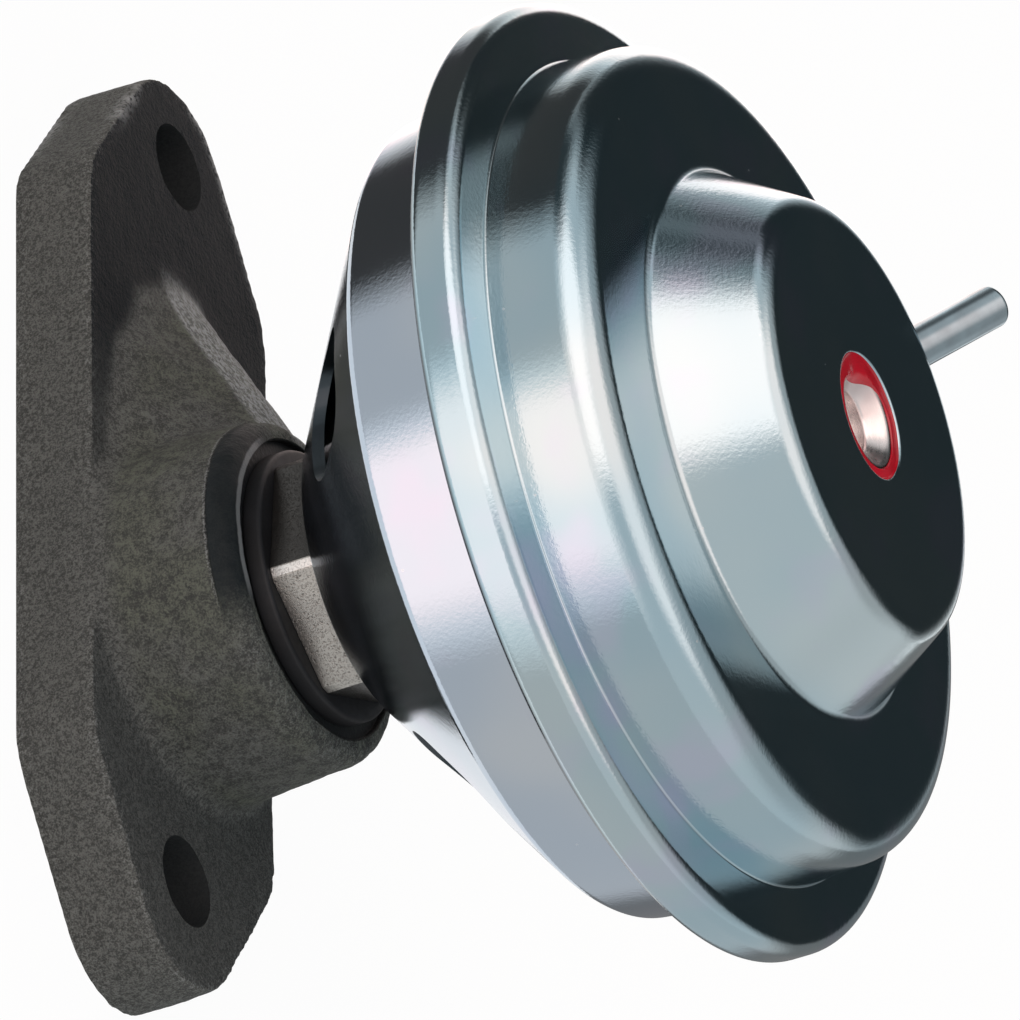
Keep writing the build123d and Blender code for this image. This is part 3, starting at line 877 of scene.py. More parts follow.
# ---- casting --------------------------------------------------------------------------------
@dataclass
class CastBase:
    """Cast-iron base: two-bolt flange, gabled hump and boss, with its bores."""

    thickness: float = 8.0
    half_width: float = 17.1
    flat_half_length: float = 31.5
    ear_angle: float = 33.5
    ear_round: float = 9.0
    tip_round: float = 9.5
    shift: float = 0.8
    draft: float = 1.8
    bolt_x: float = 39.7
    bolt_r: float = 4.35
    boss_foot_r: float = 17.4
    boss_foot_z: float = 5.5
    boss_top_r: float = 16.35
    boss_top: float = 22.0
    boss_round: float = 2.0
    recess_r: float = 14.25
    recess_depth: float = 0.6
    inlet_r: float = 9.0
    inlet_top: float = 7.0
    chamber_r: float = 8.3
    chamber_top: float = 17.4
    guide_r: float = 7.52
    outlet_r: float = 8.0
    outlet_top: float = 5.2
    passage_r: float = 4.8
    passage_low: float = 6.4
    passage_high: float = 12.4
    overcut: float = 2.0
    # where each section of the hump stands along the flange, and its half width
    sections: tuple[Point, ...] = (
        (-27.6, 6.4),
        (-25.2, 8.6),
        (-19.6, 13.2),
        (-11.4, 14.3),
        (-3.8, 15.3),
        (-2.15, 15.3),
        (28.6, 12.0),
    )
    toe: float = -25.9
    slope: float = 0.566
    crest_half_width: float = 1.4
    bevel_width: float = 2.5
    bevel_drop: float = 1.8
    hump_foot: float = 3.0
    hump_bury: float = 0.3
    voxel: float = 0.42
    fillet_passes: int = 40
    edge_passes: int = 10
    fillet_gain: float = 0.9
    edge_gain: float = 0.22
    worn_bend: float = 0.035
    machined_below: float = 0.35
    # the sand grain's swells: how high each stands, and how many there are in a millimetre
    swells: tuple[Point, ...] = ((0.055, 0.9), (0.075, 0.28), (0.035, 1.9))
    ridge_half_width: float = 4.3

    def outline(self) -> list[Point]:
        """The flange's outline at its foot.

        Returns:
            Its points, with rounded ears and tips.
        """
        apex = self.flat_half_length + self.half_width / tan(radians(self.ear_angle))
        flat, wide = self.flat_half_length, self.half_width
        corners = [(flat, wide), (-flat, wide), (-apex, 0)]
        corners += [(-x, -y) for x, y in corners]
        sizes = [self.ear_round, self.ear_round, self.tip_round] * 2
        return [(x + self.shift, y) for x, y in rounded(corners, sizes)]

    def plate(self) -> bpy.types.Object:
        """The drafted flange plate.

        Returns:
            The plate, from the mounting face up.
        """
        low = self.outline()
        inset = self.thickness * tan(radians(self.draft))
        high = []
        for k, (x, y) in enumerate(low):
            (ax, ay), (bx, by) = low[k - 1], low[(k + 1) % len(low)]
            size = hypot(bx - ax, by - ay)
            high.append((x - (by - ay) / size * inset, y + (bx - ax) / size * inset))
        return Maker.prism("cast_base", low, 0.0, self.thickness, top=high)

    def crest(self, x: float) -> float:
        """Height of the hump's crest."""
        return self.thickness + (x - self.toe) * self.slope

    def hump(self) -> bpy.types.Object:
        """The gabled hump over the passage.

        Returns:
            A closed loft through its sections.
        """
        points: list[tuple[float, float, float]] = []
        foot = self.thickness - self.hump_bury
        bevel = self.crest_half_width + self.bevel_width
        for x, wide in self.sections:
            ends = x in (self.sections[0][0], self.sections[-1][0])
            top = self.thickness if ends else self.crest(x)
            drop = min(self.bevel_drop, (top - foot) * 0.5)
            half = [(wide, self.hump_foot), (wide, foot)]
            half += [(bevel, top - drop), (self.crest_half_width, top)]
            points += [(x, y, z) for y, z in half] + [(x, -y, z) for y, z in half[::-1]]
        rows = len(self.sections)
        faces = [tuple(range(8))[::-1], tuple(range(8 * (rows - 1), 8 * rows))]
        for row in range(rows - 1):
            for k in range(8):
                n = (k + 1) % 8
                faces.append((8 * row + k, 8 * row + n, 8 * row + 8 + n, 8 * row + 8 + k))
        return Maker.mesh("hump", points, faces, Matrix.Scale(MM, 4))

    def boss(self) -> bpy.types.Object:
        """The round boss under the bushing.

        Returns:
            The boss, with a rounded upper edge.
        """
        foot, top = self.boss_foot_z, self.boss_top
        outline = [(0, foot), (self.boss_foot_r, foot), (self.boss_top_r, top), (0, top)]
        return Maker.lathe("boss", rounded(outline, [0, 0, self.boss_round, 0]), segments=160)

    def weather(self, made: bpy.types.Object) -> None:
        """Fills inner corners with fillets, softens edges, adds sand grain and marks worn places.

        Args:
            made: the remeshed casting, before it is bored.
        """
        mesh = made.data
        count = len(mesh.vertices)
        points = np.empty(count * 3, np.float32)
        mesh.vertices.foreach_get("co", points)
        points = points.reshape(-1, 3).astype(float)
        pairs = np.empty(len(mesh.edges) * 2, np.int32)
        mesh.edges.foreach_get("vertices", pairs)
        pairs = pairs.reshape(-1, 2)
        ends = np.concatenate([pairs[:, 0], pairs[:, 1]])
        others = np.concatenate([pairs[:, 1], pairs[:, 0]])
        degree = np.bincount(ends, minlength=count)[:, None]

        def lean(values: np.ndarray) -> np.ndarray:
            """Difference between each point's neighbours' mean and its own value."""
            columns = range(values.shape[1])
            total = np.stack([np.bincount(ends, values[others, k], count) for k in columns], 1)
            return total / degree - values

        def normals() -> np.ndarray:
            """The points' normals as they now are.

            Returns:
                A row of three numbers for each point.
            """
            mesh.vertices.foreach_set("co", points.astype(np.float32).ravel())
            mesh.update()
            found = np.empty(count * 3, np.float32)
            mesh.vertex_normals.foreach_get("vector", found)
            return found.reshape(-1, 3).astype(float)

        for turn in range(self.fillet_passes):
            if turn % 4 == 0:
                facing = normals()
            out = (lean(points) * facing).sum(1)
            edge = self.edge_gain if turn < self.edge_passes else 0.0
            points += facing * (out * np.where(out > 0, self.fillet_gain, edge))[:, None]
        facing = normals()
        bend = -(lean(points) * facing).sum(1)[:, None]
        for _ in range(3):
            bend = bend + lean(bend) * 0.8
        wear = np.clip(bend[:, 0] / (self.worn_bend * MM), 0, 1)

        floor = points[:, 2] < self.machined_below * MM
        rough = np.zeros(count)
        for index in np.flatnonzero(~floor):
            at = Vector(points[index]) / MM
            rough[index] = sum(high * noise.noise(at * scale) for high, scale in self.swells)
        points += facing * (rough * MM)[:, None]
        points[floor, 2] = 0.0
        mesh.vertices.foreach_set("co", points.astype(np.float32).ravel())
        for name, values in (("wear", wear), ("ridge", self.ridge(*(points / MM).T))):
            kept = mesh.attributes.new(name, "FLOAT", "POINT")
            kept.data.foreach_set("value", values.astype(np.float32))
        mesh.update()

    def ridge(self, x: np.ndarray, y: np.ndarray, z: np.ndarray) -> np.ndarray:
        """Where the hump's crest is worn bright.

        Args:
            x: the points' distances along the flange, in millimetres.
            y: their distances across it.
            z: their heights.

        Returns:
            A share from 0 to 1 for each point.
        """
        boss_edge = STEM_X - self.recess_r + 0.4
        strip = np.clip((z - self.crest(x) + 2.0) / 0.4, 0, 1)
        strip *= np.clip((self.ridge_half_width - np.abs(y)) / 0.5, 0, 1)
        strip *= np.clip((z - self.thickness - 0.1) / 1.1, 0, 1)
        strip *= np.clip((x - self.toe + 1.2) / 1.5, 0, 1) * np.clip((boss_edge - x) / 0.8, 0, 1)
        return strip

    @staticmethod
    def drill(name: str, r: float, low: float, high: float) -> tuple[str, list[Point]]:
        """Name and outline of a plain round tool between two levels."""
        return name, [(0, low), (r, low), (r, high), (0, high)]

    def bores(self) -> bpy.types.Object:
        """Every hole and seat that is cut after casting, as one tool.

        Returns:
            The tool, which is cut away from the casting.
        """
        under, over = -self.overcut, self.boss_top + 3
        recess = self.boss_top - self.recess_depth
        stepped = [(0, under), (self.inlet_r, under), (self.inlet_r, self.inlet_top)]
        stepped += [(self.chamber_r, self.inlet_top), (self.chamber_r, self.chamber_top)]
        stepped += [(self.guide_r, self.chamber_top), (self.guide_r, recess)]
        stepped += [(self.recess_r, recess), (self.recess_r, over), (0, over)]
        tool = Maker.lathe("bores", stepped, segments=96)
        low = Vector((-STEM_X, 0, self.passage_low))
        high = Vector((STEM_X, 0, self.passage_high))
        slant = Axis3(tuple(low), tuple((high - low).normalized()))
        passage = self.drill("passage", self.passage_r, -1.5, (high - low).length)
        Maker.combine(tool, Maker.lathe(*passage, slant, 48), "UNION")
        outlet = self.drill("outlet", self.outlet_r, under, self.outlet_top)
        Maker.combine(tool, Maker.lathe(*outlet, Axis3((-STEM_X, 0, 0)), 96), "UNION")
        bolt = self.drill("bolt", self.bolt_r, under, self.thickness + 6)
        places = [Axis3((side * self.bolt_x, 0, 0)) for side in (-1, 1)]
        Maker.join(tool, [Maker.lathe(*bolt, place, 72) for place in places])
        return tool

    def build(self) -> None:
        """Builds the casting as one skin."""
        made = self.plate()
        Maker.join(made, [self.hump(), self.boss()])
        skin = {"mode": "VOXEL", "voxel_size": self.voxel * MM, "use_smooth_shade": True}
        Maker.modify(made, "REMESH", **skin)
        self.weather(made)
        Maker.combine(made, self.bores(), "DIFFERENCE")
        Maker.smooth(made, 50)
        Piece(made, Skin.CAST_IRON, "cast_iron", ("base_casting",)).settle()


# ---- bushing and gasket ---------------------------------------------------------------------
@dataclass
class BushingStack:
    """Hexagonal sintered stem guide and the ring it is pressed down on."""

    gasket_inner: float = 7.54
    gasket_outer: float = 13.0
    gasket_low: float = 21.4
    gasket_high: float = 23.3
    hex_low: float = 23.3
    hex_high: float = 28.5
    across_flats: float = 21.6
    turn: float = 54.0
    edge: float = 1.0
    softness: float = 0.12
    neck_r: float = 8.6
    lip_r: float = 9.8
    lip_low: float = 30.7
    top: float = 31.6
    spigot_r: float = 7.5
    spigot_low: float = 18.8
    stem_hole: float = 3.05
    pocket_r: float = 6.2
    pocket_low: float = 27.7

    def gasket(self) -> bpy.types.Object:
        """Ring with a rounded outer edge.

        Returns:
            The ring.
        """
        corners = [(self.gasket_inner, self.gasket_low), (self.gasket_outer, self.gasket_low)]
        corners += [(self.gasket_outer, self.gasket_high), (self.gasket_inner, self.gasket_high)]
        return Maker.lathe("gasket_ring", rounded(corners, [0.1, 0.3, 0.4, 0.1]), segments=192)

    def bushing(self) -> bpy.types.Object:
        """Hexagon with flattened corners, bored, with its spigot, neck and staked lip.

        Returns:
            The bushing.
        """
        apothem = self.across_flats / 2
        half = apothem * tan(pi / 6) - self.edge / 2 / cos(pi / 6)
        outline = []
        for k in range(6):
            flat = radians(self.turn + 30 + 60 * k)
            for along in (-half, half):
                x = apothem * cos(flat) - along * sin(flat)
                outline.append((x, apothem * sin(flat) + along * cos(flat)))
        place = Matrix.Translation((STEM_X, 0, 0))
        made = Maker.prism("guide_bushing", outline, self.hex_low, self.hex_high, place)
        bevel = {"width": self.softness * MM, "segments": 3, "limit_method": "ANGLE"}
        Maker.modify(made, "BEVEL", **bevel, angle_limit=radians(20))
        inside = self.hex_low + 1
        spine = [(0, self.spigot_low), (self.spigot_r, self.spigot_low), (self.spigot_r, inside)]
        spine += [(self.neck_r, inside), (self.neck_r, self.lip_low), (self.lip_r, self.lip_low)]
        spine += [(self.neck_r, self.top), (0, self.top)]
        Maker.combine(made, Maker.lathe("spine", spine, segments=96), "UNION")
        under, over = self.spigot_low - 1, self.top + 1
        bore = [(0, under), (self.stem_hole, under), (self.stem_hole, self.pocket_low)]
        bore += [(self.pocket_r, self.pocket_low), (self.pocket_r, over), (0, over)]
        Maker.combine(made, Maker.lathe("bore", bore, segments=96), "DIFFERENCE")
        return made

    def build(self) -> None:
        """Builds the ring and the bushing."""
        gasket, bushing = self.gasket(), self.bushing()
        Maker.smooth(gasket)
        Maker.smooth(bushing, 24)
        Piece(gasket, Skin.GASKET, "gasket", ("boss_gasket",)).settle()
        Piece(bushing, Skin.BUSHING, "sintered_iron", ("hex_bushing",)).settle()


# ---- stamped covers -------------------------------------------------------------------------
@dataclass
class Covers:
    """The two pressed covers, the lower one with four windows."""

    thickness: float = 1.0
    lower_path: tuple[Point, ...] = (
        (8.62, 29.0),
        (14.6, 29.0),
        (37.35, 46.2),
        (38.6, 57.0),
        (42.5, 57.0),
    )
    lower_bends: tuple[float, ...] = (1.6, 0.8, 0.9)
    upper_path: tuple[Point, ...] = (
        (6.4, 75.6),
        (6.4, 78.2),
        (19.8, 78.2),
        (25.5, 68.9),
        (37.7, 68.9),
        (38.3, 59.7),
        (44.3, 59.7),
        (44.3, 56.0),
        (41.0, 56.0),
    )
    upper_bends: tuple[float, ...] = (-0.2, 2.2, 1.6, 3.4, 0.75, 1.25, 0.85)
    windows: int = 4
    window_low: float = 28.5
    window_high: float = 46.7
    window_inner: float = 20.6
    window_outer: float = 31.6
    window_half_width: float = 5.6
    window_round: float = 3.6
    segments: int = 288

    def lower(self) -> bpy.types.Object:
        """Cone and band with its windows cut through.

        Returns:
            The lower cover.
        """
        shape = sheet(self.lower_path, self.lower_bends, self.thickness)
        made = Maker.lathe("lower_shell", shape, segments=self.segments)
        inner, outer, half = self.window_inner, self.window_outer, self.window_half_width
        corners = [(inner, -half), (outer, -half), (outer, half), (inner, half)]
        outline = rounded(corners, self.window_round)
        tools = []
        for index in range(self.windows):
            turn = Matrix.Rotation(2 * pi * index / self.windows, 4, "Z")
            place = Matrix.Translation((STEM_X, 0, 0)) @ turn
            levels = (self.window_low, self.window_high)
            tools.append(Maker.prism(f"window_{index}", outline, *levels, place))
        Maker.join(tools[0], tools[1:])
        Maker.combine(made, tools[0], "DIFFERENCE")
        return made

    def upper(self) -> bpy.types.Object:
        """Stepped dome with its rolled rim."""
        shape = sheet(self.upper_path, self.upper_bends, self.thickness)
        return Maker.lathe("upper_shell", shape, segments=self.segments)

    def build(self) -> None:
        """Builds both covers."""
        lower = (self.lower(), Skin.ZINC_LOWER, "lower_housing")
        upper = (self.upper(), Skin.ZINC, "upper_cover")
        for made, finish, node in (lower, upper):
            Maker.smooth(made, 30)
            Piece(made, finish, "zinc_steel", (node,)).settle()


# ---- vacuum fittings ------------------------------------------------------------------------
@dataclass
class Fittings:
    """Hose stub on the dome's wall, and the plug with its lacquer in the dome's middle."""

    # where the tube's axis leaves the dome's wall, its direction, and the levels along it
    tube_root: tuple[float, float, float] = (-3.53, 15.13, 74.3)
    tube_along: tuple[float, float, float] = (-0.6236, 0.5815, 0.5225)
    tube_r: float = 2.0
    tube_bore: float = 1.25
    spigot_r: float = 1.7
    tube_from: float = 0.58
    tube_to: float = 13.68
    tube_in: float = -1.9
    plug_r: float = 5.0
    plug_top: float = 78.3
    plug_height: float = 3.4
    crown_r: float = 4.4
    recess_r: float = 2.9
    funnel_depth: float = 1.6
    recess_depth: float = 3.1
    lacquer_outer: float = 5.88
    lacquer_lap: float = 0.12
    # radii across the lacquer's top, then its lip's radius and level
    lacquer_rings: tuple[float, ...] = (5.73, 5.55, 5.35, 5.15, 5.0)
    lacquer_lip: Point = (4.86, -0.2)
    run_side: float = 200.0
    run_reach: float = 1.45
    run_fall: float = 1.05
    run_ripple: float = 0.05
    dome_top: float = 78.7

    def tube(self) -> bpy.types.Object:
        """Straight stub with a rounded end and a bore.

        Returns:
            The stub, from inside the dome's wall outwards.
        """
        low, root, tip = self.tube_in, self.tube_from, self.tube_to
        corners = [(self.tube_bore, low), (self.spigot_r, low), (self.spigot_r, root)]
        corners += [(self.tube_r, root), (self.tube_r, tip), (self.tube_bore, tip)]
        shape = rounded(corners, [0, 0.1, 0, 0.12, 0.55, 0.12])
        return Maker.lathe("hose_stub", shape, Axis3(self.tube_root, self.tube_along), 96)

    def plug(self) -> bpy.types.Object:
        """Cup with a rolled edge.

        Returns:
            The plug.
        """
        low, top = self.plug_top - self.plug_height, self.plug_top
        bottom = top - self.recess_depth
        corners = [(0, low), (self.plug_r, low), (self.plug_r, top), (self.crown_r, top)]
        corners += [(self.recess_r, top - self.funnel_depth), (self.recess_r, bottom), (0, bottom)]
        shape = rounded(corners, [0, 0.2, 0.22, 0.75, 0.6, 0.15, 0], False)
        return Maker.lathe("plug_cup", shape, segments=160)

    def lacquer(self) -> bpy.types.Object:
        """Uneven ring of lacquer, drawn up at the collar and run over the plug's edge on one side.

        Returns:
            The ring.
        """
        low = self.plug_top - self.plug_height + 0.6
        level = self.plug_top + self.lacquer_lap
        inner, outer = self.plug_r + 0.02, self.lacquer_outer
        corners = [(inner, low), (outer, low)]
        corners += [(outer, self.dome_top - 0.4), (outer + 0.15, self.dome_top - 0.02)]
        corners += [(r, level) for r in self.lacquer_rings]
        corners += [(self.lacquer_lip[0], level + self.lacquer_lip[1])]
        rounds = [0, 0, 0, 0.05, *[0] * (len(corners) - 4)]
        made = Maker.lathe("lacquer_ring", rounded(corners, rounds), segments=160)
        for vertex in made.data.vertices:
            place = vertex.co
            away = Vector((place.x - STEM_X * MM, place.y))
            around = atan2(away.y, away.x)
            run = max(0.0, cos(around - radians(self.run_side))) ** 3
            if place.z > (self.plug_top - 0.5) * MM and away.length < (outer - 0.1) * MM:
                inward = (outer * MM - away.length) * self.run_reach * run
                away *= 1 - inward / away.length
                place.x, place.y = away.x + STEM_X * MM, away.y
                place.z -= self.run_fall * max(0.0, self.crown_r * MM - away.length)
            if place.z > (self.plug_top - 1.5) * MM:
                at = Vector((cos(around) * 2.2, sin(around) * 2.2, place.z * 300))
                place.z += self.run_ripple * MM * noise.noise(at)
        return made

    def build(self) -> None:
        """Builds the stub, the plug and the lacquer."""
        parts = (
            (self.tube(), Skin.TUBE, "zinc_tube", "vacuum_tube"),
            (self.plug(), Skin.PLUG, "plug_metal", "calibration_plug"),
            (self.lacquer(), Skin.LACQUER, "lacquer", "lacquer_seal"),
        )
        for made, finish, slot, node in parts:
            Maker.smooth(made, 40)
            Piece(made, finish, slot, (node,)).settle()


# ---- spring and diaphragm -------------------------------------------------------------------
@dataclass
class ReturnSpring:
    """Round-wire compression spring, made as a Geometry Nodes tree."""

    radius: float = 15.4
    wire_r: float = 1.1
    turns: float = 5.0
    low: float = 56.81
    high: float = 76.88
    lift: float = 4.8

    def tree(self) -> bpy.types.NodeTree:
        """Spiral curve with a round wire, realized and dressed.

        Returns:
            The tree, with its sizes as named inputs.
        """
        tree = bpy.data.node_groups.new("coil", "GeometryNodeTree")
        for name in ("Radius", "Height", "Turns", "Wire"):
            tree.interface.new_socket(name, in_out="INPUT", socket_type="NodeSocketFloat")
        tree.interface.new_socket("Geometry", in_out="OUTPUT", socket_type="NodeSocketGeometry")
        graph = Graph(tree)
        given = graph.add("NodeGroupInput").outputs
        ring = {"Resolution": 48, "Rotations": given["Turns"], "Height": given["Height"]}
        ring |= {"Start Radius": given["Radius"], "End Radius": given["Radius"]}
        spiral = graph.add("GeometryNodeCurveSpiral", None, ring)
        round_wire = {"Resolution": 20, "Radius": given["Wire"]}
        wire = graph.add("GeometryNodeCurvePrimitiveCircle", None, round_wire)
        swept = {"Curve": spiral.outputs[0], "Profile Curve": wire.outputs[0], "Fill Caps": True}
        coil = graph.add("GeometryNodeCurveToMesh", None, swept)
        foot = (STEM_X * MM, 0, (self.low + self.wire_r) * MM)
        placed = {"Geometry": coil.outputs[0], "Translation": foot}
        moved = graph.add("GeometryNodeTransform", None, placed)
        whole = graph.add("GeometryNodeRealizeInstances", None, {"Geometry": moved.outputs[0]})
        skin = {"Geometry": whole.outputs[0], "Material": Skin.SPRING.value.material()}
        dressed = graph.add("GeometryNodeSetMaterial", None, skin)
        graph.add("NodeGroupOutput", None, {0: dressed.outputs[0]})
        return tree

    def build(self) -> None:
        """Builds the coil as a plain mesh."""
        made = bpy.data.objects.new("spring_coil", bpy.data.meshes.new("spring_coil"))
        bpy.context.scene.collection.objects.link(made)
        tree = self.tree()
        modifier = made.modifiers.new("coil", "NODES")
        modifier.node_group = tree
        height = self.high - self.low - 2 * self.wire_r
        sizes = {"Radius": self.radius * MM, "Height": height * MM}
        sizes |= {"Turns": self.turns, "Wire": self.wire_r * MM}
        for item in tree.interface.items_tree:
            if item.name in sizes:
                modifier[item.identifier] = float(sizes[item.name])
        graph = bpy.context.evaluated_depsgraph_get()
        graph.update()
        result = bpy.data.meshes.new_from_object(made.evaluated_get(graph))
        made.modifiers.remove(modifier)
        made.data = result
        Maker.smooth(made, 50)
        Piece(made, Skin.SPRING, "spring_steel", ("return_spring",)).settle()
        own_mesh(made)


@dataclass
class Diaphragm:
    """Rolling diaphragm: a clamped rim and a web that follows the stem."""

    thickness: float = 0.8
    level: float = 55.35
    clamp: float = 58.35
    top: float = 62.95
    inner: float = 31.9
    outer: float = 36.6
    neck: float = 2.42
    rim: float = 42.45
    web_bend: float = 0.9
    rim_bend: float = 0.8

    def build(self) -> None:
        """Builds both pieces, which meet at the top of the convolution."""
        middle = (self.inner + self.outer) / 2
        fold = (self.outer - self.inner) / 2 - 0.07
        web_path = [(self.neck, self.level), (self.inner, self.level)]
        web_path += [(self.inner, self.top), (middle, self.top)]
        rim_path = [(middle, self.top), (self.outer, self.top)]
        rim_path += [(self.outer, self.clamp), (self.rim, self.clamp)]
        web_shape = sheet(web_path, [self.web_bend, fold], self.thickness)
        rim_shape = sheet(rim_path, [fold, self.rim_bend], self.thickness)
        web = Maker.lathe("diaphragm_web", web_shape, segments=192)
        rim = Maker.lathe("diaphragm_rim", rim_shape, segments=192)
        for made in (web, rim):
            Maker.smooth(made, 40)
        start, end = (0, 0, self.top * MM), (0, 0, (self.level + 0.45) * MM)
        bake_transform(web, "casing", "stem_assembly", start=start, end=end)
        for made in (web, rim):
            Piece(made, Skin.RUBBER, "diaphragm_rubber", ("diaphragm",)).settle()


# ---- CAD nodes that keep their shape --------------------------------------------------------
@dataclass
class KeptNodes:
    """The CAD solids whose shape is right, with their finishes."""

    seat: tuple[str, ...] = ("valve_seat",)
    packing: tuple[str, ...] = ("stem_seal",)
    moving: tuple[str, ...] = ("valve_stem", "pintle")
    plates: tuple[str, ...] = ("lower_plate", "upper_plate")
    washers: tuple[str, ...] = ("seal_washer", "stake_washer", "backing_washer", "clamp_washer")
    pressed: tuple[str, ...] = ("spring_seat", "deflector")

    def build(self) -> None:
        """Gives each node its material."""
        groups = {
            Skin.SEAT: self.seat,
            Skin.PACKING: self.packing,
            Skin.STEM: self.moving,
            Skin.PLATE: self.plates,
            Skin.STEEL: self.washers + self.pressed,
        }
        for finish, names in groups.items():
            for name in names:
                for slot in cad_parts[name].material_slots:
                    slot.material = finish.value.material()
                LOG.info("%s: dressed", name)


# ---- studio ---------------------------------------------------------------------------------
@dataclass(frozen=True)
class Card:
    """A soft-edged card in the far surroundings, by where it stands and how bright it is."""

    azimuth: float
    elevation: float
    half_width: float
    half_height: float
    edge: float
    level: float


@dataclass(frozen=True)
class Panel:
    """A grey sheet in the ring close round the part, by the azimuths between which it stands."""

    start: float
    end: float
    level: float


@dataclass
class Studio:
    """Floor, surroundings, reflected panels and camera."""

    level: float = 0.7
    overhead_box: Card = Card(270, 90, 180, 30, 10, 1.25)
    front_box: Card = Card(260, 40, 40, 20, 10, 1.6)
    low_box: Card = Card(300, 0, 30, 20, 20, 1.4)
    back_sheet: Card = Card(110, 50, 60, 25, 15, 0.5)
    black_flag: Card = Card(140, 25, 50, 20, 10, 0.03)
    side_flag: Card = Card(210, 5, 20, 20, 10, 0.05)
    tint: Colour = (1.2, 1.0, 0.94)
    shade: Colour = (0.8, 1.0, 1.06)
    panel_radius: float = 76.0
    panel_heights: tuple[float, float] = (0.4, 72.0)
    side_panel: Panel = Panel(-30, 50, 0.6)
    back_panel: Panel = Panel(60, 120, 0.2)
    back_light: Panel = Panel(140, 180, 1.5)
    black_panel: Panel = Panel(200, 240, 0.05)
    front_panel: Panel = Panel(250, 275, 0.6)
    front_light: Panel = Panel(285, 315, 1.4)
    panel_steps: int = 180
    floor_r: float = 3000.0
    floor_depth: float = 4.0
    floor_grey: float = 0.86
    floor_white: float = 0.96
    # where the camera stands, in metres, and which way its picture's sides and axis point
    eye: tuple[float, float, float] = (0.511062, -0.677959, 0.386694)
    right: tuple[float, float, float] = (0.027407, 0.468885, 0.882834)
    up: tuple[float, float, float] = (-0.834953, -0.474866, 0.278129)
    ahead: tuple[float, float, float] = (-0.549638, 0.744748, -0.378482)
    lens: float = 352.94
    sensor: float = 36.0

    def surroundings(self) -> None:
        """Even surroundings with soft white and dark cards."""
        world = bpy.data.worlds.new("studio")
        bpy.context.scene.world = world
        world.use_nodes = True
        graph = Graph(world.node_tree)
        ray = graph.add("ShaderNodeTexCoord").outputs["Generated"]
        split = graph.add("ShaderNodeSeparateXYZ", None, {0: ray})
        x, y, z = (graph.out(split, k) for k in range(3))
        height = z.math("ARCSINE")
        colour: object = (self.level,) * 3
        boxes = (self.overhead_box, self.front_box, self.low_box)
        for card in (*boxes, self.back_sheet, self.black_flag, self.side_flag):
            turn = radians(card.azimuth)
            ahead = x * cos(turn) + y * sin(turn)
            across = abs((y * cos(turn) - x * sin(turn)).math("ARCTAN2", ahead))
            upward = abs(height - radians(card.elevation))
            mask = 1.0
            for away, half in ((across, card.half_width), (upward, card.half_height)):
                mask = away.step(radians(half + card.edge), radians(half - card.edge)) * mask
            hue = self.tint if card.level > 1 else self.shade if card.level < 0.1 else (1, 1, 1)
            colour = graph.mix(mask, colour, tuple(card.level * share for share in hue))
        sky = graph.add("ShaderNodeBackground", None, {"Color": colour, "Strength": 1.0})
        graph.add("ShaderNodeOutputWorld", None, {"Surface": sky.outputs[0]})

    def tent(self) -> None:
        """Ring of grey panels round the part, seen only in its polished surfaces."""
        steps, radius = self.panel_steps, self.panel_radius
        turns = [360 * k / steps for k in range(steps)]
        ends = [(STEM_X + radius * cos(radians(t)), radius * sin(radians(t))) for t in turns]
        points = [(x, y, z) for z in self.panel_heights for x, y in ends]
        faces = []
        for low in range(0, steps * (len(self.panel_heights) - 1), steps):
            for k in range(steps):
                n = (k + 1) % steps
                faces.append((low + k, low + steps + k, low + steps + n, low + n))
        mesh = bpy.data.meshes.new("tent")
        mesh.from_pydata(points, [], faces)
        mesh.transform(Matrix.Scale(MM, 4))
        made = bpy.data.objects.new("tent", mesh)
        bpy.context.scene.collection.objects.link(made)
        sheets = (self.side_panel, self.back_panel, self.back_light)
        sheets += (self.black_panel, self.front_panel, self.front_light)
        angles = [angle for sheet in sheets for angle in (sheet.start, sheet.end)]
        levels = [sheet.level for sheet in sheets for _ in range(2)]
        around = np.interp(turns, angles, levels, period=360)
        found = np.tile(around, len(self.panel_heights))
        kept = mesh.attributes.new("level", "FLOAT", "POINT")
        kept.data.foreach_set("value", found.astype(np.float32))
        material = bpy.data.materials.new("tent_finish")
        material.use_nodes = True
        graph = Graph(material.node_tree)
        level = graph.painted("level")
        hue = graph.mix(level.step(0.8, 1.4), (1, 1, 1), self.tint)
        glow = graph.add("ShaderNodeEmission", None, {"Color": hue, "Strength": level})
        graph.add("ShaderNodeOutputMaterial", None, {"Surface": glow.outputs[0]})
        mesh.materials.append(material)
        made.visible_camera = made.visible_diffuse = False
        made.visible_shadow = made.visible_transmission = False

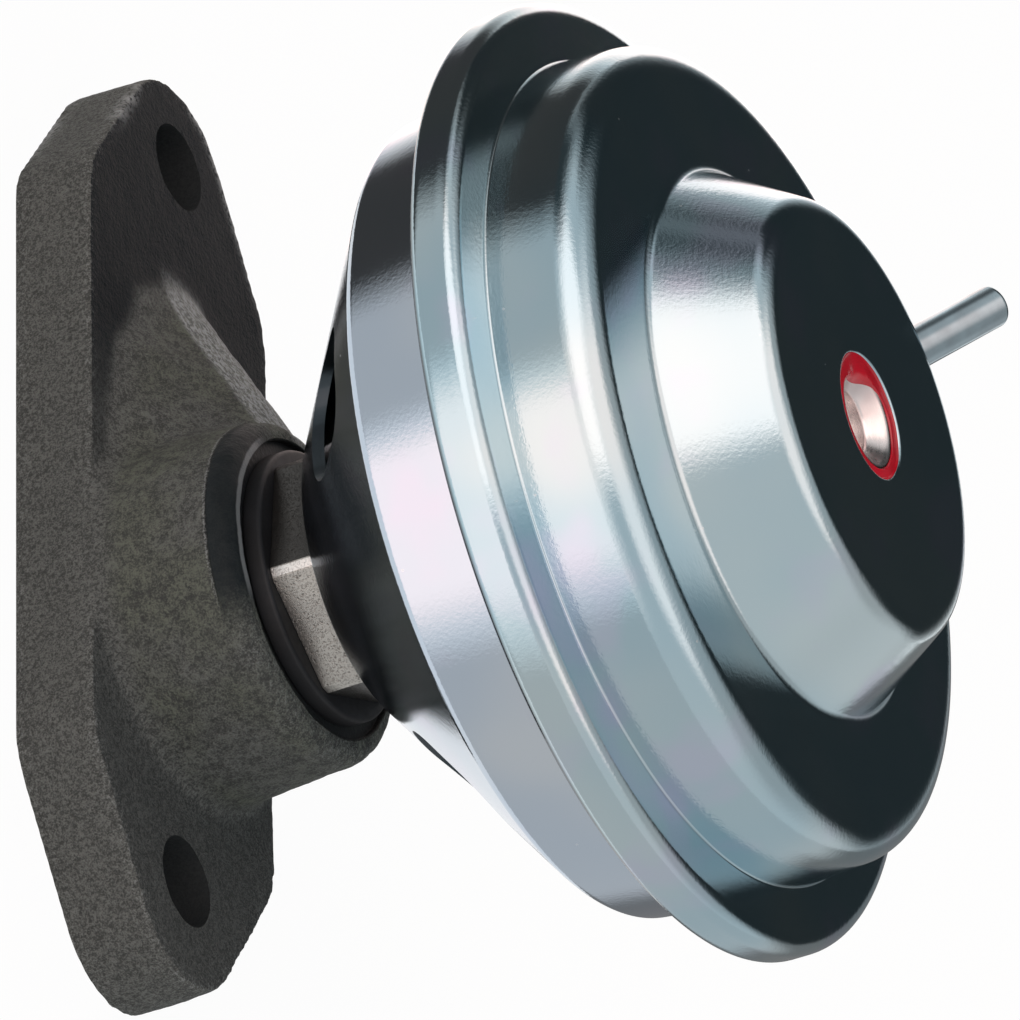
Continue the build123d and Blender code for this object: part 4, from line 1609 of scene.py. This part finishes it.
    def floor(self) -> None:
        """Large pale floor under the mounting face, white where it is looked at or mirrored."""
        turns = [2 * pi * k / 64 for k in range(64)]
        outline = [(self.floor_r * cos(turn), self.floor_r * sin(turn)) for turn in turns]
        made = Maker.prism("floor", outline, -self.floor_depth, 0.0)
        material = bpy.data.materials.new("floor_finish")
        material.use_nodes = True
        graph = Graph(material.node_tree)
        path = graph.add("ShaderNodeLightPath")
        rays = ("Is Camera Ray", "Is Glossy Ray", "Is Transmission Ray")
        camera, glossy, through = (graph.out(path, ray) for ray in rays)
        seen = (camera + glossy + through).step(0.0, 1.0) * self.floor_white
        lit = graph.add("ShaderNodeBsdfDiffuse", None, {"Color": (self.floor_grey,) * 3})
        bright = graph.add("ShaderNodeEmission", None, {"Color": (1, 1, 1), "Strength": 1.0})
        inputs = {0: seen, 1: lit.outputs[0], 2: bright.outputs[0]}
        share = graph.add("ShaderNodeMixShader", None, inputs)
        graph.add("ShaderNodeOutputMaterial", None, {"Surface": share.outputs[0]})
        made.data.materials.append(material)

    def camera(self) -> None:
        """Camera with a long lens, turned so that the stem's axis lies across the picture."""
        data = bpy.data.cameras.new("camera")
        data.lens, data.sensor_width = self.lens, self.sensor
        data.clip_start, data.clip_end = 0.05, 20.0
        made = bpy.data.objects.new("camera", data)
        bpy.context.scene.collection.objects.link(made)
        turn = Matrix((self.right, self.up, [-c for c in self.ahead])).transposed().to_4x4()
        made.matrix_world = Matrix.Translation(self.eye) @ turn
        bpy.context.scene.camera = made

    def build(self) -> None:
        """Sets up the whole studio."""
        bpy.context.scene.view_settings.view_transform = "Standard"
        self.surroundings()
        self.floor()
        self.tent()
        self.camera()


def main() -> None:
    """Builds every piece in order."""
    logging.basicConfig(level=logging.INFO, format="%(name)s: %(message)s")
    studio, base, stack, covers = Studio(), CastBase(), BushingStack(), Covers()
    inner = (Fittings(), ReturnSpring(), Diaphragm(), KeptNodes())
    for part in (studio, base, stack, covers, *inner):
        part.build()
        LOG.info("%s built", type(part).__name__)


if __name__ == "__main__":
    main()
